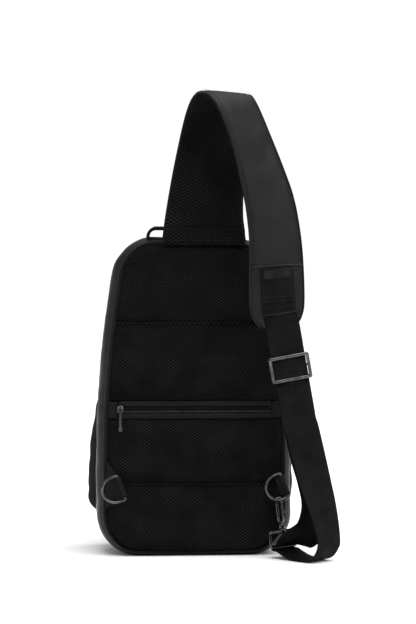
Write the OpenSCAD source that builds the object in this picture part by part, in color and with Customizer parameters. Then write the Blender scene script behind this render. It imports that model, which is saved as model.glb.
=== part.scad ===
/* [Body] */
// Height of the bag body
body_h = 345; // [300:5:400]
// Greatest width of the body, low on its sides
body_w = 210; // [200:2:230]
// Width that the side curve runs in to at the top
top_w = 162; // [150:2:180]
// Height at which the sides start to lean in
widest_z = 100; // [80:5:130]
// Radius of the lower corners
low_corner_r = 45; // [30:1:55]
// Radius of the upper corners
top_corner_r = 45; // [30:1:55]
// Depth from the middle zip line back to the seam of the back panel
rear_depth = 33; // [25:1:45]
// Depth from the middle zip line forward to the front panel
front_depth = 35; // [25:1:45]
// How far the back panel is set in from the sides
back_inset = 9; // [4:0.5:12]
// Thickness of the body fabric
fabric_t = 1.2; // [0.8:0.1:2]
// Height at which the main zip ends on each side
zip_end_z = 47; // [46:1:80]

/* [Back panel] */
// Thickness of the mesh padding
pad_t = 9; // [5:0.5:12]
// Height of the upper quilted channel
upper_channel_z = 253; // [235:1:270]
// Height of the lower quilted channel
lower_channel_z = 78; // [65:1:95]
// Lower edge of the zip pocket opening
pocket_low_z = 150; // [140:1:160]
// Upper edge of the zip pocket opening
pocket_high_z = 167; // [165:1:175]

/* [Front pocket] */
// Greatest half width of the front pocket
pocket_half_w = 113; // [108:1:116]
// Height of the underside of the front pocket
pocket_z = 40; // [38:1:50]
// Height of the top of the front pocket
pocket_top_z = 200; // [180:2:230]
// Depth of the front pocket
pocket_depth = 28; // [20:1:35]

/* [Strap] */
// Thickness of the shoulder pad
strap_t = 9; // [7:0.5:12]
// Width of the webbing
webbing_w = 36; // [30:1:38]
// Thickness of the webbing
webbing_t = 1.4; // [1.2:0.1:2]
// How far the adjuster stands from the middle of its travel
adjuster_offset = 0; // [-10:1:10]

/* [Hardware] */
// Diameter of the D-ring wire
ring_wire = 3.2; // [2.5:0.1:4]
// Straight bar of a D-ring, between wire centres
ring_bar = 27.5; // [25:0.5:32]
// Outside width of the adjuster frame
adjuster_w = 43.6; // [42:0.2:48]
// Outside height of the adjuster frame
adjuster_h = 28; // [24:1:34]
// Diameter of the snap hook wire
hook_wire = 2.8; // [2.4:0.1:3.4]
// Inside width of the snap hook
hook_gap = 8; // [7:0.5:10]

/* [Hidden] */
$fn = 28;

nylon = [0.10, 0.10, 0.11];
mesh_cloth = [0.16, 0.16, 0.17];
tape_black = [0.06, 0.06, 0.07];
web_black = [0.13, 0.13, 0.14];
gunmetal = [0.45, 0.45, 0.47];
cord_grey = [0.55, 0.55, 0.57];

// The fabric seams leave a small gap between neighbouring pieces
seam = 0.3;
// Zip line, with its two tapes on either side
zip_y = 8;
tape_w = 4;
tape_t = 0.8;
coil_h = 0.8;

// ---- Outline of the body, seen from the back: points are [x, z, normal x, normal z] ----

function half_w(z) = body_w / 2
    - (body_w - top_w) / 2 * pow(max(0, z - widest_z) / (body_h - widest_z), 2);
function lean_at(z) = atan((body_w - top_w) * max(0, z - widest_z) / pow(body_h - widest_z, 2));
function side_point(z) = [half_w(z), z, cos(lean_at(z)), sin(lean_at(z))];
function arc_path(c, r, a0, a1, n) = [for (i = [0:n]) let (a = a0 + (a1 - a0) * i / n)
    [c[0] + r * cos(a), c[1] + r * sin(a), cos(a), sin(a)]];
function flip(path) = [for (i = [len(path) - 1:-1:0])
    [-path[i][0], path[i][1], -path[i][2], path[i][3]]];

// The side panels run between these two directions of the corner arcs
low_split = -53;
high_split = 37;
shoulder_z = body_h - top_corner_r;
lean = lean_at(shoulder_z);
side_top_z = shoulder_z + top_corner_r * sin(lean);
low_c = [body_w / 2 - low_corner_r, low_corner_r];
top_c = [half_w(side_top_z) - top_corner_r * cos(lean), shoulder_z];

low_half = arc_path(low_c, low_corner_r, -90, low_split, 4);
low_side = arc_path(low_c, low_corner_r, low_split, 0, 6);
high_side = [for (i = [1:8]) side_point(low_corner_r + (side_top_z - low_corner_r) * i / 9)];
high_arc = arc_path(top_c, top_corner_r, lean, high_split, 4);
top_half = arc_path(top_c, top_corner_r, high_split, 90, 5);
base_path = concat(flip(low_half), low_half);
side_path = concat(low_side, high_side, high_arc);
top_path = concat(top_half, flip(top_half));
zip_side = concat([side_point(zip_end_z)], high_side, high_arc);
zip_path = concat(zip_side, top_half, flip(concat(zip_side, top_half)));
half_path = concat(low_half, low_side, high_side, high_arc, top_half);
body_path = concat(half_path, flip(half_path));

// ---- Outline of the front pocket ----

pocket_widest_z = 70;
pocket_low_r = 20;
pocket_top_r = 30;
pocket_lean_w = 14;
pocket_lean_h = 110;
function pocket_w(z) = pocket_half_w
    - pocket_lean_w * pow(max(0, z - pocket_widest_z) / pocket_lean_h, 2);
function pocket_lean(z) = atan(2 * pocket_lean_w * max(0, z - pocket_widest_z) / pow(pocket_lean_h, 2));
function pocket_point(z) = [pocket_w(z), z, cos(pocket_lean(z)), sin(pocket_lean(z))];
pocket_top_lean = pocket_lean(pocket_top_z - pocket_top_r);
pocket_side_top = pocket_top_z - pocket_top_r * (1 - sin(pocket_top_lean));
pocket_side_low = pocket_z + pocket_low_r;
pocket_low_c = [pocket_half_w - pocket_low_r, pocket_side_low];
pocket_top_c = [pocket_w(pocket_side_top) - pocket_top_r * cos(pocket_top_lean),
    pocket_top_z - pocket_top_r];
pocket_half = concat(
    arc_path(pocket_low_c, pocket_low_r, -90, 0, 6),
    [for (i = [1:6]) pocket_point(pocket_side_low + (pocket_side_top - pocket_side_low) * i / 7)],
    arc_path(pocket_top_c, pocket_top_r, pocket_top_lean, 90, 6));
pocket_path = concat(pocket_half, flip(pocket_half));

// ---- Panels that follow an outline ----

// Insets count in full on the sides and a little over half along the top and base
function inset_by(p, d) = let (k = d * (0.55 + 0.45 * abs(p[2]))) [p[0] - p[2] * k, p[1] - p[3] * k];
function outline(path, d) = [for (p = path) inset_by(p, d)];
function wall_point(p, s, t) = let (q = inset_by(p, s[1]))
    [q[0] - p[2] * t, s[0], q[1] - p[3] * t];

// A wall round the bag: stations are [depth, inset] from back to front, t is its thickness
module wall(path, stations, t, closed = false) {
    n = len(path);
    m = len(stations);
    last = closed ? n - 1 : n - 2;
    points = concat(
        [for (p = path) for (s = stations) wall_point(p, s, 0)],
        [for (p = path) for (s = stations) wall_point(p, s, t)]);
    function a(i, j) = (i % n) * m + j;
    function b(i, j) = n * m + a(i, j);
    outer = [for (i = [0:last]) for (j = [0:m - 2])
        [a(i, j), a(i + 1, j), a(i + 1, j + 1), a(i, j + 1)]];
    inner = [for (i = [0:last]) for (j = [0:m - 2])
        [b(i, j), b(i, j + 1), b(i + 1, j + 1), b(i + 1, j)]];
    edges = [for (i = [0:last]) each [
        [a(i, 0), b(i, 0), b(i + 1, 0), a(i + 1, 0)],
        [a(i, m - 1), a(i + 1, m - 1), b(i + 1, m - 1), b(i, m - 1)]]];
    ends = closed ? [] : [for (j = [0:m - 2]) each [
        [a(0, j), a(0, j + 1), b(0, j + 1), b(0, j)],
        [a(n - 1, j), b(n - 1, j), b(n - 1, j + 1), a(n - 1, j + 1)]]];
    polyhedron(points, concat(outer, inner, edges, ends), convexity = 8);
}

// A flat plate with an outline's shape, between two depths
module plate(path, d, y0, y1) {
    translate([0, y1, 0]) rotate([90, 0, 0]) linear_extrude(y1 - y0) polygon(outline(path, d));
}

// The part of a plate between two heights
module band(path, d, z0, z1, y0, y1) {
    translate([0, y1, 0]) rotate([90, 0, 0]) linear_extrude(y1 - y0) intersection() {
        polygon(outline(path, d));
        translate([-body_w, z0]) square([2 * body_w, z1 - z0]);
    }
}

back_y = -rear_depth;
back_stations = [[back_y, back_inset], [back_y + 3, back_inset * 0.55],
    [back_y + 9, back_inset * 0.15], [back_y + 17, 0], [zip_y - tape_w - seam, 0]];
front_t = 1.5;
fold_z = 36;
front_stations = [[zip_y + tape_w + seam, 0], [front_depth - 10, 0], [front_depth - 4, 1.5],
    [front_depth - seam, 4]];

// ---- Straps: stations are [x, y, z, turn about the vertical, width, tilt across] ----

function unit(v) = v / norm(v);
function place(s) = [s[0], s[1], s[2]];
function tangent(st, i) = unit(place(st[min(i + 1, len(st) - 1)]) - place(st[max(i - 1, 0)]));
function tilt_of(s) = len(s) > 5 ? s[5] : 0;
function across(st, i) = let (t = tangent(st, i), k = cos(tilt_of(st[i])),
    w = [k * cos(st[i][3]), k * sin(st[i][3]), sin(tilt_of(st[i]))]) unit(w - (w * t) * t);
function curve(a, b, c, d, f) = 0.5 * (2 * b + (c - a) * f + (2 * a - 5 * b + 4 * c - d) * f * f
    + (3 * b - a - 3 * c + d) * f * f * f);
function smooth(st, n) = [for (i = [0:len(st) - 2]) for (k = [0:n - 1])
    curve(st[max(i - 1, 0)], st[i], st[i + 1], st[min(i + 2, len(st) - 1)], k / n),
    st[len(st) - 1]];

// A ribbon through the stations: section points are [side, distance in from the edge, height]
module ribbon(st, section) {
    n = len(section);
    rings = [for (i = [0:len(st) - 1]) let (w = across(st, i), v = cross(tangent(st, i), w))
        [for (q = section) place(st[i]) + w * q[0] * (st[i][4] / 2 - q[1]) + v * q[2]]];
    sides = [for (i = [0:len(st) - 2]) for (j = [0:n - 1])
        [i * n + j, (i + 1) * n + j, (i + 1) * n + (j + 1) % n, i * n + (j + 1) % n]];
    start = [for (j = [0:n - 1]) j];
    finish = [for (j = [n - 1:-1:0]) (len(st) - 1) * n + j];
    polyhedron([for (r = rings) for (p = r) p], concat(sides, [start, finish]), convexity = 10);
}
function flat(v0, v1, edge = 0) = [[-1, edge, v0], [1, edge, v0], [1, edge, v1], [-1, edge, v1]];

strap_root_z = body_h - 7.7;
strap_stations = [
    [10, -37.5, strap_root_z, 0, 90], [10, -38, 356, 0, 86], [10.5, -40, 372, 0, 82],
    [13.5, -45.5, 408, 2, 76], [17, -54, 445, 6, 69], [20, -63, 472, 12, 64],
    [23, -72, 487, 18, 61], [27.5, -82, 494, 24, 59], [34, -93, 491, 32, 58],
    [42, -100, 477, 38, 57], [54, -103, 446, 38, 57], [66, -104, 408, 30, 57],
    [74.5, -103, 377, 23, 57], [80, -100.5, 340, 16, 57], [82, -97, 304, 9, 57.5],
    [83, -93.3, 272, 4, 56.5], [83.8, -91.8, 258, 2, 49], [84.3, -90.4, 250, 0, 36],
];
strap_path = smooth(strap_stations, 3);

// ---- Webbing: down from the strap end, through the adjuster, round the hook ring and back up ----

adjuster_c = [97.5, -91.4, 206];
adjuster_tilt = [3.9, -10.5];
adjuster_up = [sin(adjuster_tilt[1]) * cos(adjuster_tilt[0]), -sin(adjuster_tilt[0]),
    cos(adjuster_tilt[1]) * cos(adjuster_tilt[0])];
adjuster_back = [sin(adjuster_tilt[0]) * sin(adjuster_tilt[1]), cos(adjuster_tilt[0]),
    sin(adjuster_tilt[0]) * cos(adjuster_tilt[1])];
return_gap = 7.4;
function web(x, y, z, turn, tilt = 0) = [x, y, z, turn, webbing_w, tilt];
function on_run(s, back = 0) = concat(adjuster_c + adjuster_up * s + adjuster_back * back,
    [0, webbing_w, 0]);

ring_turn = 42;
hook_lean = -6;
hook_tilt = [asin(tan(hook_lean) / tan(ring_turn)), hook_lean];
hook_pos = [93.5, -50.1, 30.2];
hook_up = [sin(hook_tilt[1]) * cos(hook_tilt[0]), -sin(hook_tilt[0]),
    cos(hook_tilt[1]) * cos(hook_tilt[0])];
ring_top_s = -2;
ring_low_s = -19;
ring_inner_w = 38;
base_wire = 3;
ring_low_c = hook_pos + hook_up * ring_low_s;
ring_away = [sin(ring_turn), -cos(ring_turn), 0];
wrap_r = 2.5;
wrap = [for (a = [-90:30:90]) concat(
    ring_low_c - ring_away * wrap_r * cos(a) + [0, 0, wrap_r * sin(a)], [ring_turn, webbing_w, 0])];

front_strand = concat(
    [web(81.5, -104.6, 316, 12), web(83, -102.6, 300, 9),
    web(84.6, -99.2, 276, 5), web(86, -97.6, 262, 2)],
    [on_run(48), on_run(41), on_run(0), on_run(-44), on_run(-58)],
    [web(111, -86.5, 140, 1), web(117.5, -86, 114, 5),
    web(124.5, -87, 86, 14), web(132.5, -89.5, 57, 28),
    web(137.5, -94, 31, 39), web(137, -97, 16, ring_turn),
    web(131, -91, 4.5, ring_turn), web(121, -79.5, webbing_t / 2, ring_turn),
    web(110, -67, 2, ring_turn),
    concat(ring_low_c + ring_away * 5 + [0, 0, -wrap_r - 0.5], [ring_turn, webbing_w, 0])]);
back_strand = concat(
    [concat(ring_low_c + ring_away * 3 + [0, 0, wrap_r + 0.2], [ring_turn, webbing_w, 0]),
    web(103, -61, 18, 40, -22), web(109, -67, 22, 37, -38), web(116, -72, 26, 33, -45),
    web(123, -76, 37, 28, -35), web(127, -79, 60, 22, -12), web(123.5, -78.5, 86, 12),
    web(116.5, -78.8, 112, 4), web(110.5, -79.5, 140, 0)],
    [on_run(-50, return_gap), on_run(-30, return_gap), on_run(-8, return_gap)]);
webbing_path = concat(smooth(front_strand, 2), wrap, smooth(back_strand, 2));

// ---- Zip sliders: pulls swing about the X axis of their own frame ----

slider_t = 2.3;
pivot_out = 3.4;
back_pivot_out = 4.6;
pin_r = 0.7;
lug_t = 1.6;
slot_w = 2.2;
eye_r = 2.1;
pull_w = 3.4;
pull_t = 1.6;
back_slider_pos = [-81, -35.9, 159.5];
lower_slider_z = 210;
upper_slider_z = 242;
pocket_slider_z = 120;

// Slider frame: outward is -Y, the face that rides on the coil is at y = 0
module slider(w, h, out = pivot_out) {
    color(gunmetal) difference() {
        union() {
            translate([-w / 2, -slider_t, -h / 2]) cube([w, slider_t, h]);
            for (x = [-w / 2 + 0.4, w / 2 - 0.4 - lug_t]) translate([x, -slider_t - out, -lug_t])
                cube([lug_t, out + 0.5, 2 * lug_t]);
            translate([-w / 2 + 0.6, 1 - slider_t - out, 0]) rotate([0, 90, 0])
                cylinder(r = pin_r, h = w - 1.2);
        }
        for (side = [-1, 1]) translate([side * w / 2 - slot_w / 2, -1.4, -h / 2 - 1])
            cube([slot_w, 0.8, h * 0.45]);
    }
}

// The pull hangs from the slider's pin, just outside it
module pull(length, tip, out = pivot_out) {
    translate([0, 1 - slider_t - out, 0]) {
        color(gunmetal) rotate([0, 90, 0]) difference() {
            cylinder(r = eye_r, h = pull_w, center = true);
            cylinder(r = pin_r + 0.2, h = pull_w + 2, center = true);
        }
        color(cord_grey) translate([-pull_w / 2, -eye_r, -length])
            cube([pull_w, pull_t, length - 1.5]);
        color(cord_grey) translate([-tip / 2, -eye_r - 0.3, -length - 1])
            cube([tip, pull_t + 0.3, 4]);
    }
}

module on_right_side(x, y, z, tilt) {
    translate([x, y, z]) rotate([0, -tilt, 0]) rotate([0, 0, 90]) children();
}
module at_main_slider(z) {
    on_right_side(half_w(z) + coil_h + seam, zip_y, z, lean_at(z)) children();
}
module at_pocket_slider() {
    on_right_side(pocket_w(pocket_slider_z) + 1, pocket_zip_y, pocket_slider_z,
        pocket_lean(pocket_slider_z)) children();
}

// ---- Body pieces ----

module base_panel() {
    color(nylon) wall(base_path, concat([for (i = [0:3]) back_stations[i]], [[front_depth, 0]]),
        fabric_t);
}
// Stands up from the base, in front of it, to the seam that the front half folds on
module kick_panel() {
    color(nylon) band(body_path, 0, 0, fold_z, front_depth, front_depth + front_t);
}

board_t = 2.5;
board_inset = back_inset + 3;
module back_board() {
    color(tape_black) plate(body_path, board_inset, back_y, back_y + board_t);
}

pad_y = back_y - pad_t;
pad_inset = back_inset + 0.4;
pad_round = 4.5;
quilt_gap = 1.5;
// One quilted cushion of the back panel
module pad(z0, z1) {
    hull() {
        band(body_path, pad_inset, z0, z1, back_y - 3.5, back_y);
        band(body_path, pad_inset + pad_round, z0 + pad_round, z1 - pad_round, pad_y, pad_y + 0.5);
    }
}
module back_panel_upper() {
    color(mesh_cloth) {
        pad(upper_channel_z + quilt_gap, body_h);
        pad(pocket_high_z + 0.5, upper_channel_z - quilt_gap);
        band(body_path, pad_inset, pocket_high_z + 0.5, body_h, back_y - 1.5, back_y);
    }
}
module back_panel_lower() {
    color(mesh_cloth) {
        pad(lower_channel_z + quilt_gap, pocket_low_z - 0.5);
        pad(0, lower_channel_z - quilt_gap);
        band(body_path, pad_inset, 0, pocket_low_z - 0.5, back_y - 1.5, back_y);
    }
}

zip_tab_w = 11;
zip_half_w = half_w(pocket_low_z) - back_inset - 1;
module back_zip_tape() {
    coil_z = (pocket_low_z + pocket_high_z) / 2 + 1;
    color(tape_black) {
        translate([-zip_half_w + zip_tab_w + seam, back_y - 1.5, pocket_low_z])
            cube([2 * (zip_half_w - zip_tab_w - seam), 1.5, pocket_high_z - pocket_low_z]);
        translate([-zip_half_w + zip_tab_w + seam, back_y - 2.6, coil_z - 2])
            cube([2 * (zip_half_w - zip_tab_w - seam), 1.6, 4]);
    }
}
module back_zip_end_tabs() {
    color(nylon) for (side = [-1, 1])
        translate([side * (zip_half_w - zip_tab_w / 2) - zip_tab_w / 2, back_y - 2, pocket_low_z])
            cube([zip_tab_w, 2, pocket_high_z - pocket_low_z]);
}

piping_inset = back_inset - 1.4;
module rear_piping() {
    color(nylon) difference() {
        plate(body_path, piping_inset, back_y - 2, back_y - 0.1);
        plate(body_path, pad_inset - 0.2, back_y - 3, back_y + 1);
    }
}

module right_side_panel() {
    color(nylon) wall(side_path, back_stations, fabric_t);
}
module left_side_panel() {
    mirror([1, 0, 0]) right_side_panel();
}
module top_panel() {
    color(nylon) wall(top_path, back_stations, fabric_t);
}
module right_zip_end_gusset() {
    color(nylon) wall(concat(low_side, [side_point(zip_end_z - 1.2)]),
        concat([[zip_y - tape_w, 0]], [for (i = [1:3]) front_stations[i]]), fabric_t);
}
module left_zip_end_gusset() {
    mirror([1, 0, 0]) right_zip_end_gusset();
}
// Coil raised on the edge of the tape that meets the other tape
module main_zip_tape_rear() {
    color(tape_black) wall(zip_path, [[zip_y - tape_w, 0.3], [zip_y - 1.6, 0.3],
        [zip_y - 1.4, -coil_h], [zip_y - 0.15, -coil_h]], tape_t);
}

sleeve_low_z = 14;
sleeve_top_z = 230;
sleeve_half_w = 76;
module inner_sleeve() {
    depth = 6.5;
    t = 1.5;
    y0 = back_y + board_t + 0.1;
    color(nylon) difference() {
        translate([-sleeve_half_w, y0, sleeve_low_z])
            cube([2 * sleeve_half_w, depth, sleeve_top_z - sleeve_low_z]);
        translate([-sleeve_half_w + t, y0 - 1, sleeve_low_z + t])
            cube([2 * (sleeve_half_w - t), depth + 1 - t, sleeve_top_z]);
    }
}

handle_half = 52;
handle_rise = 13;
handle_w = 20;
handle_y = -20;
// Webbing arch on top of the bag
module haul_handle() {
    t = 3.6;
    corner = 11;
    color(web_black) translate([0, handle_y + handle_w / 2, 0]) rotate([90, 0, 0])
        linear_extrude(handle_w) difference() {
            translate([-handle_half, body_h + 0.1]) handle_shape(2 * handle_half, handle_rise, corner);
            translate([-handle_half + t, body_h - 1])
                handle_shape(2 * (handle_half - t), handle_rise + 1.1 - t, corner - t);
        }
}
module handle_shape(w, h, r) {
    hull() {
        square([w, 0.1]);
        for (x = [r, w - r]) translate([x, h - r]) intersection() {
            circle(r, $fn = 40);
            translate([-r, 0]) square([2 * r, r]);
        }
    }
}

// ---- D-rings, each held by a folded nylon tab ----

ring_tilt = -20.4;
ring_y = pad_y - 4.5;
ring_leg = 7;
left_ring_pos = [-80, ring_y, 75.8];
right_ring_pos = [96.8, ring_y, 77.3];
tab_t = 1;
tab_bore = ring_wire / 2 + 0.2;
tab_sleeve_r = tab_bore + 1.2;
module at_ring(pos) {
    translate(pos) rotate([0, ring_tilt, 0]) children();
}

// The bar lies along Z and the bow reaches towards -X
module d_ring() {
    r = ring_bar / 2;
    color(gunmetal) {
        translate([0, 0, -r]) cylinder(d = ring_wire, h = ring_bar);
        for (end = [-r, r]) {
            translate([0, 0, end]) sphere(d = ring_wire);
            translate([0, 0, end]) rotate([0, -90, 0]) cylinder(d = ring_wire, h = ring_leg);
        }
        translate([-ring_leg, 0, 0]) rotate([0, -90, 0]) half_bend(r, ring_wire);
    }
}
// Sleeve round the bar and a web that runs back to the seam, reach mm away
module ring_tab(pos, reach, seam_half_h) {
    sleeve_h = ring_bar - ring_wire - 1.6;
    color(nylon) at_ring(pos) {
        difference() {
            union() {
                cylinder(r = tab_sleeve_r, h = sleeve_h, center = true);
                translate([0, tab_sleeve_r, 0]) rotate([90, 0, 0]) linear_extrude(tab_t)
                    polygon([[0, -sleeve_h / 2], [0, sleeve_h / 2], [-reach, seam_half_h],
                        [-reach, -seam_half_h]]);
            }
            cylinder(r = tab_bore, h = sleeve_h + 2, center = true);
        }
        translate([-reach, tab_sleeve_r, 0]) rotate([90, 0, 0]) linear_extrude(tab_t)
            translate([-3, -seam_half_h]) square([3, 2 * seam_half_h]);
        translate([-reach - 3, tab_sleeve_r - tab_t, -seam_half_h])
            cube([2.5, 5.5, 2 * seam_half_h]);
    }
}
module left_d_ring_tab() {
    ring_tab(left_ring_pos, 12, 16);
}
module right_d_ring_tab() {
    ring_tab(right_ring_pos, 5, 10);
}
module left_d_ring() {
    at_ring(left_ring_pos) d_ring();
}
module right_d_ring() {
    at_ring(right_ring_pos) d_ring();
}

// ---- Shoulder strap ----

half_t = strap_t / 2;
cover_v = 2;
module strap_mesh() {
    wall_t = 2;
    color(mesh_cloth) ribbon(strap_path, [[-1, 0, -half_t], [1, 0, -half_t], [1, 0, cover_v - 0.1],
        [1, wall_t, cover_v - 0.1], [1, wall_t, -half_t + wall_t], [-1, wall_t, -half_t + wall_t],
        [-1, wall_t, cover_v - 0.1], [-1, 0, cover_v - 0.1]]);
}
module strap_foam() {
    color(tape_black) ribbon(strap_path, flat(-half_t + 2.1, cover_v - 0.1, 2.1));
}
module strap_cover() {
    color(nylon) ribbon(strap_path, flat(cover_v, half_t));
}
module strap_label() {
    up = [-0.3, -0.9, 0];
    label = [for (s = [front_strand[0], front_strand[1]])
        concat(place(s) + up, [s[3], 30])];
    color(tape_black) ribbon(label, flat(-0.1, 0.7));
}
module webbing() {
    color(web_black) ribbon(webbing_path, flat(-webbing_t / 2, webbing_t / 2));
}

// ---- Swivel snap hook ----

hook_turn = 55;
hook_bend_r = (hook_gap + hook_wire) / 2;
hook_low_s = 11.5;
hook_high_s = 29.3;
gate_s = 13.4;
knob_s = gate_s + 5;
gate_pin_r = 0.6;
swivel_pin_r = 1.7;
module at_hook(turn) {
    translate(hook_pos) rotate([hook_tilt[0], hook_tilt[1], 0]) rotate([0, 0, turn]) children();
}
module half_bend(r, wire) {
    rotate([90, 0, 0]) rotate_extrude(angle = 180) translate([r, 0]) circle(d = wire);
}
// Wide loop that the webbing runs through, with a collar for the swivel pin
module hook_base_ring() {
    half = (ring_inner_w + base_wire) / 2;
    color(gunmetal) at_hook(ring_turn) difference() {
        union() {
            for (s = [ring_top_s, ring_low_s]) translate([-half, 0, s]) rotate([0, 90, 0])
                cylinder(d = base_wire, h = 2 * half);
            for (side = [-half, half]) {
                translate([side, 0, ring_low_s]) cylinder(d = base_wire, h = ring_top_s - ring_low_s);
                for (s = [ring_top_s, ring_low_s]) translate([side, 0, s]) sphere(d = base_wire);
            }
            translate([0, 0, -4]) cylinder(r = 4, h = 4);
        }
        translate([0, 0, -5]) cylinder(r = swivel_pin_r + 0.1, h = 6);
    }
}
module hook_body() {
    color(gunmetal) at_hook(hook_turn) {
        translate([0, 0, -5]) cylinder(r = swivel_pin_r, h = 6);
        translate([0, 0, -6.2]) cylinder(r = 2.8, h = 1.7);
        translate([0, 0, 0.3]) cylinder(r = 3.7, h = 5);
        translate([0, 0, hook_low_s]) rotate([180, 0, 0]) half_bend(hook_bend_r, hook_wire);
        translate([-hook_bend_r, 0, hook_low_s]) cylinder(d = hook_wire, h = hook_high_s - hook_low_s);
        translate([0, 0, hook_high_s]) half_bend(hook_bend_r, hook_wire);
        translate([hook_bend_r, 0, hook_high_s - 2]) cylinder(d = hook_wire, h = 2);
        translate([hook_bend_r, 0, gate_s]) rotate([90, 0, 0])
            cylinder(r = gate_pin_r, h = hook_wire, center = true);
        for (side = [-1, 1]) translate([hook_bend_r - 1.2, side * 1.7 - 0.4, hook_low_s - 0.5])
            cube([2.4, 0.8, 3.6]);
    }
}
module hook_gate() {
    gate_d = 2.3;
    color(gunmetal) at_hook(hook_turn) difference() {
        union() {
            translate([hook_bend_r, 0, gate_s - 0.6])
                cylinder(d = gate_d, h = hook_high_s - 2.3 - gate_s + 0.6);
            translate([hook_bend_r, 0, knob_s]) rotate([0, 90, 0]) cylinder(d = 2, h = 3.4);
            translate([hook_bend_r + 2.6, 0, knob_s]) rotate([0, 90, 0]) cylinder(d = 3.2, h = 1.4);
        }
        translate([hook_bend_r, 0, gate_s]) rotate([90, 0, 0])
            cylinder(r = gate_pin_r + 0.08, h = 6, center = true);
    }
}

// ---- Strap adjuster ----

adjuster_t = 2.2;
adjuster_rim = 3.6;
frame_front = -webbing_t / 2 - 0.5 - adjuster_t;
end_bar_r = 1.2;
loop_t = 1.2;
loop_r = end_bar_r + 0.1 + loop_t;
end_bar_y = webbing_t / 2 + 0.5 + loop_r;
lug_x = webbing_w / 2 + 0.6;
module at_adjuster() {
    translate(adjuster_c + adjuster_up * adjuster_offset)
        rotate([adjuster_tilt[0], adjuster_tilt[1], 0]) children();
}
module frame_ring(grow, y0, y1) {
    translate([0, y1, 0]) rotate([90, 0, 0]) linear_extrude(y1 - y0) difference() {
        square([adjuster_w + 2 * grow, adjuster_h + 2 * grow], center = true);
        square([adjuster_w - 2 * adjuster_rim, adjuster_h - 2 * adjuster_rim], center = true);
    }
}
// Bevelled frame in front of the webbing, with a lug on each side for the bar behind it
module adjuster_frame() {
    color(gunmetal) at_adjuster() difference() {
        union() {
            frame_ring(0, frame_front + 0.8, frame_front + adjuster_t);
            frame_ring(-0.8, frame_front, frame_front + 0.8);
            for (side = [-1, 1]) translate([side > 0 ? lug_x : -adjuster_w / 2, frame_front + 1, -2.8])
                cube([adjuster_w / 2 - lug_x, end_bar_y + 2.2 - frame_front - 1, 5.6]);
        }
        translate([-adjuster_w, end_bar_y, 0]) rotate([0, 90, 0])
            cylinder(r = end_bar_r, h = 2 * adjuster_w);
    }
}
module adjuster_bar() {
    color(gunmetal) at_adjuster() translate([-adjuster_w / 2, end_bar_y, 0]) rotate([0, 90, 0])
        cylinder(r = end_bar_r, h = adjuster_w);
}
// Sewn end of the webbing, folded round the bar
module webbing_end_loop() {
    tail = 22;
    color(web_black) at_adjuster() translate([-webbing_w / 2, end_bar_y, 0]) rotate([0, 90, 0])
        difference() {
            union() {
                cylinder(r = loop_r, h = webbing_w);
                translate([0, -loop_t, 0]) cube([tail, 2 * loop_t, webbing_w]);
            }
            translate([0, 0, -1]) cylinder(r = end_bar_r + 0.1, h = webbing_w + 2);
        }
}

// ---- Front half, which folds down on the seam above the base ----

module front_panel() {
    color(nylon) band(body_path, 4.2, fold_z + seam, body_h, front_depth, front_depth + front_t);
}
module right_front_gusset() {
    color(nylon) wall(zip_side, front_stations, fabric_t);
}
module left_front_gusset() {
    mirror([1, 0, 0]) right_front_gusset();
}
module top_front_gusset() {
    color(nylon) wall(top_path, front_stations, fabric_t);
}
module main_zip_tape_front() {
    color(tape_black) wall(zip_path, [[zip_y + 0.15, -coil_h], [zip_y + 1.4, -coil_h],
        [zip_y + 1.6, 0.3], [zip_y + tape_w, 0.3]], tape_t);
}

pocket_y = front_depth + front_t + 0.1;
pocket_zip_y = pocket_y + pocket_depth - 8;
pocket_front_y = pocket_y + pocket_depth;
module front_pocket_gusset() {
    color(nylon) wall(pocket_path, [[pocket_y, 12], [pocket_y + 4, 4], [pocket_y + 9, 0.5],
        [pocket_zip_y - 3, 0]], fabric_t, closed = true);
}
module front_zip_tape() {
    color(tape_black) wall(pocket_path, [[pocket_zip_y - 2.8, 0.2], [pocket_zip_y - 0.4, 0.2]],
        tape_t, closed = true);
}
// Dished front of the pocket
module front_pocket_panel() {
    dish = 7;
    skin = 1.6;
    color(nylon) difference() {
        hull() {
            plate(pocket_path, 0, pocket_zip_y, pocket_zip_y + 2);
            plate(pocket_path, dish, pocket_front_y - 0.3, pocket_front_y);
        }
        hull() {
            plate(pocket_path, skin * 1.6, pocket_zip_y - 1, pocket_zip_y + 1.6);
            plate(pocket_path, dish + skin * 1.6, pocket_front_y - skin - 0.3, pocket_front_y - skin);
        }
    }
}

module back_zip_slider() {
    translate(back_slider_pos) slider(8.4, 8, back_pivot_out);
}
module back_zip_pull() {
    translate(back_slider_pos) pull(23, 4, back_pivot_out);
}
module main_zip_slider_lower() {
    at_main_slider(lower_slider_z) slider(8, 11);
}
module main_zip_pull_lower() {
    at_main_slider(lower_slider_z) pull(24, 4.4);
}
module main_zip_slider_upper() {
    at_main_slider(upper_slider_z) slider(8, 11);
}
module main_zip_pull_upper() {
    at_main_slider(upper_slider_z) pull(24, 4.4);
}
module front_zip_slider() {
    at_pocket_slider() slider(8, 9);
}
module front_zip_pull() {
    at_pocket_slider() pull(24, 4.4);
}

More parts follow.
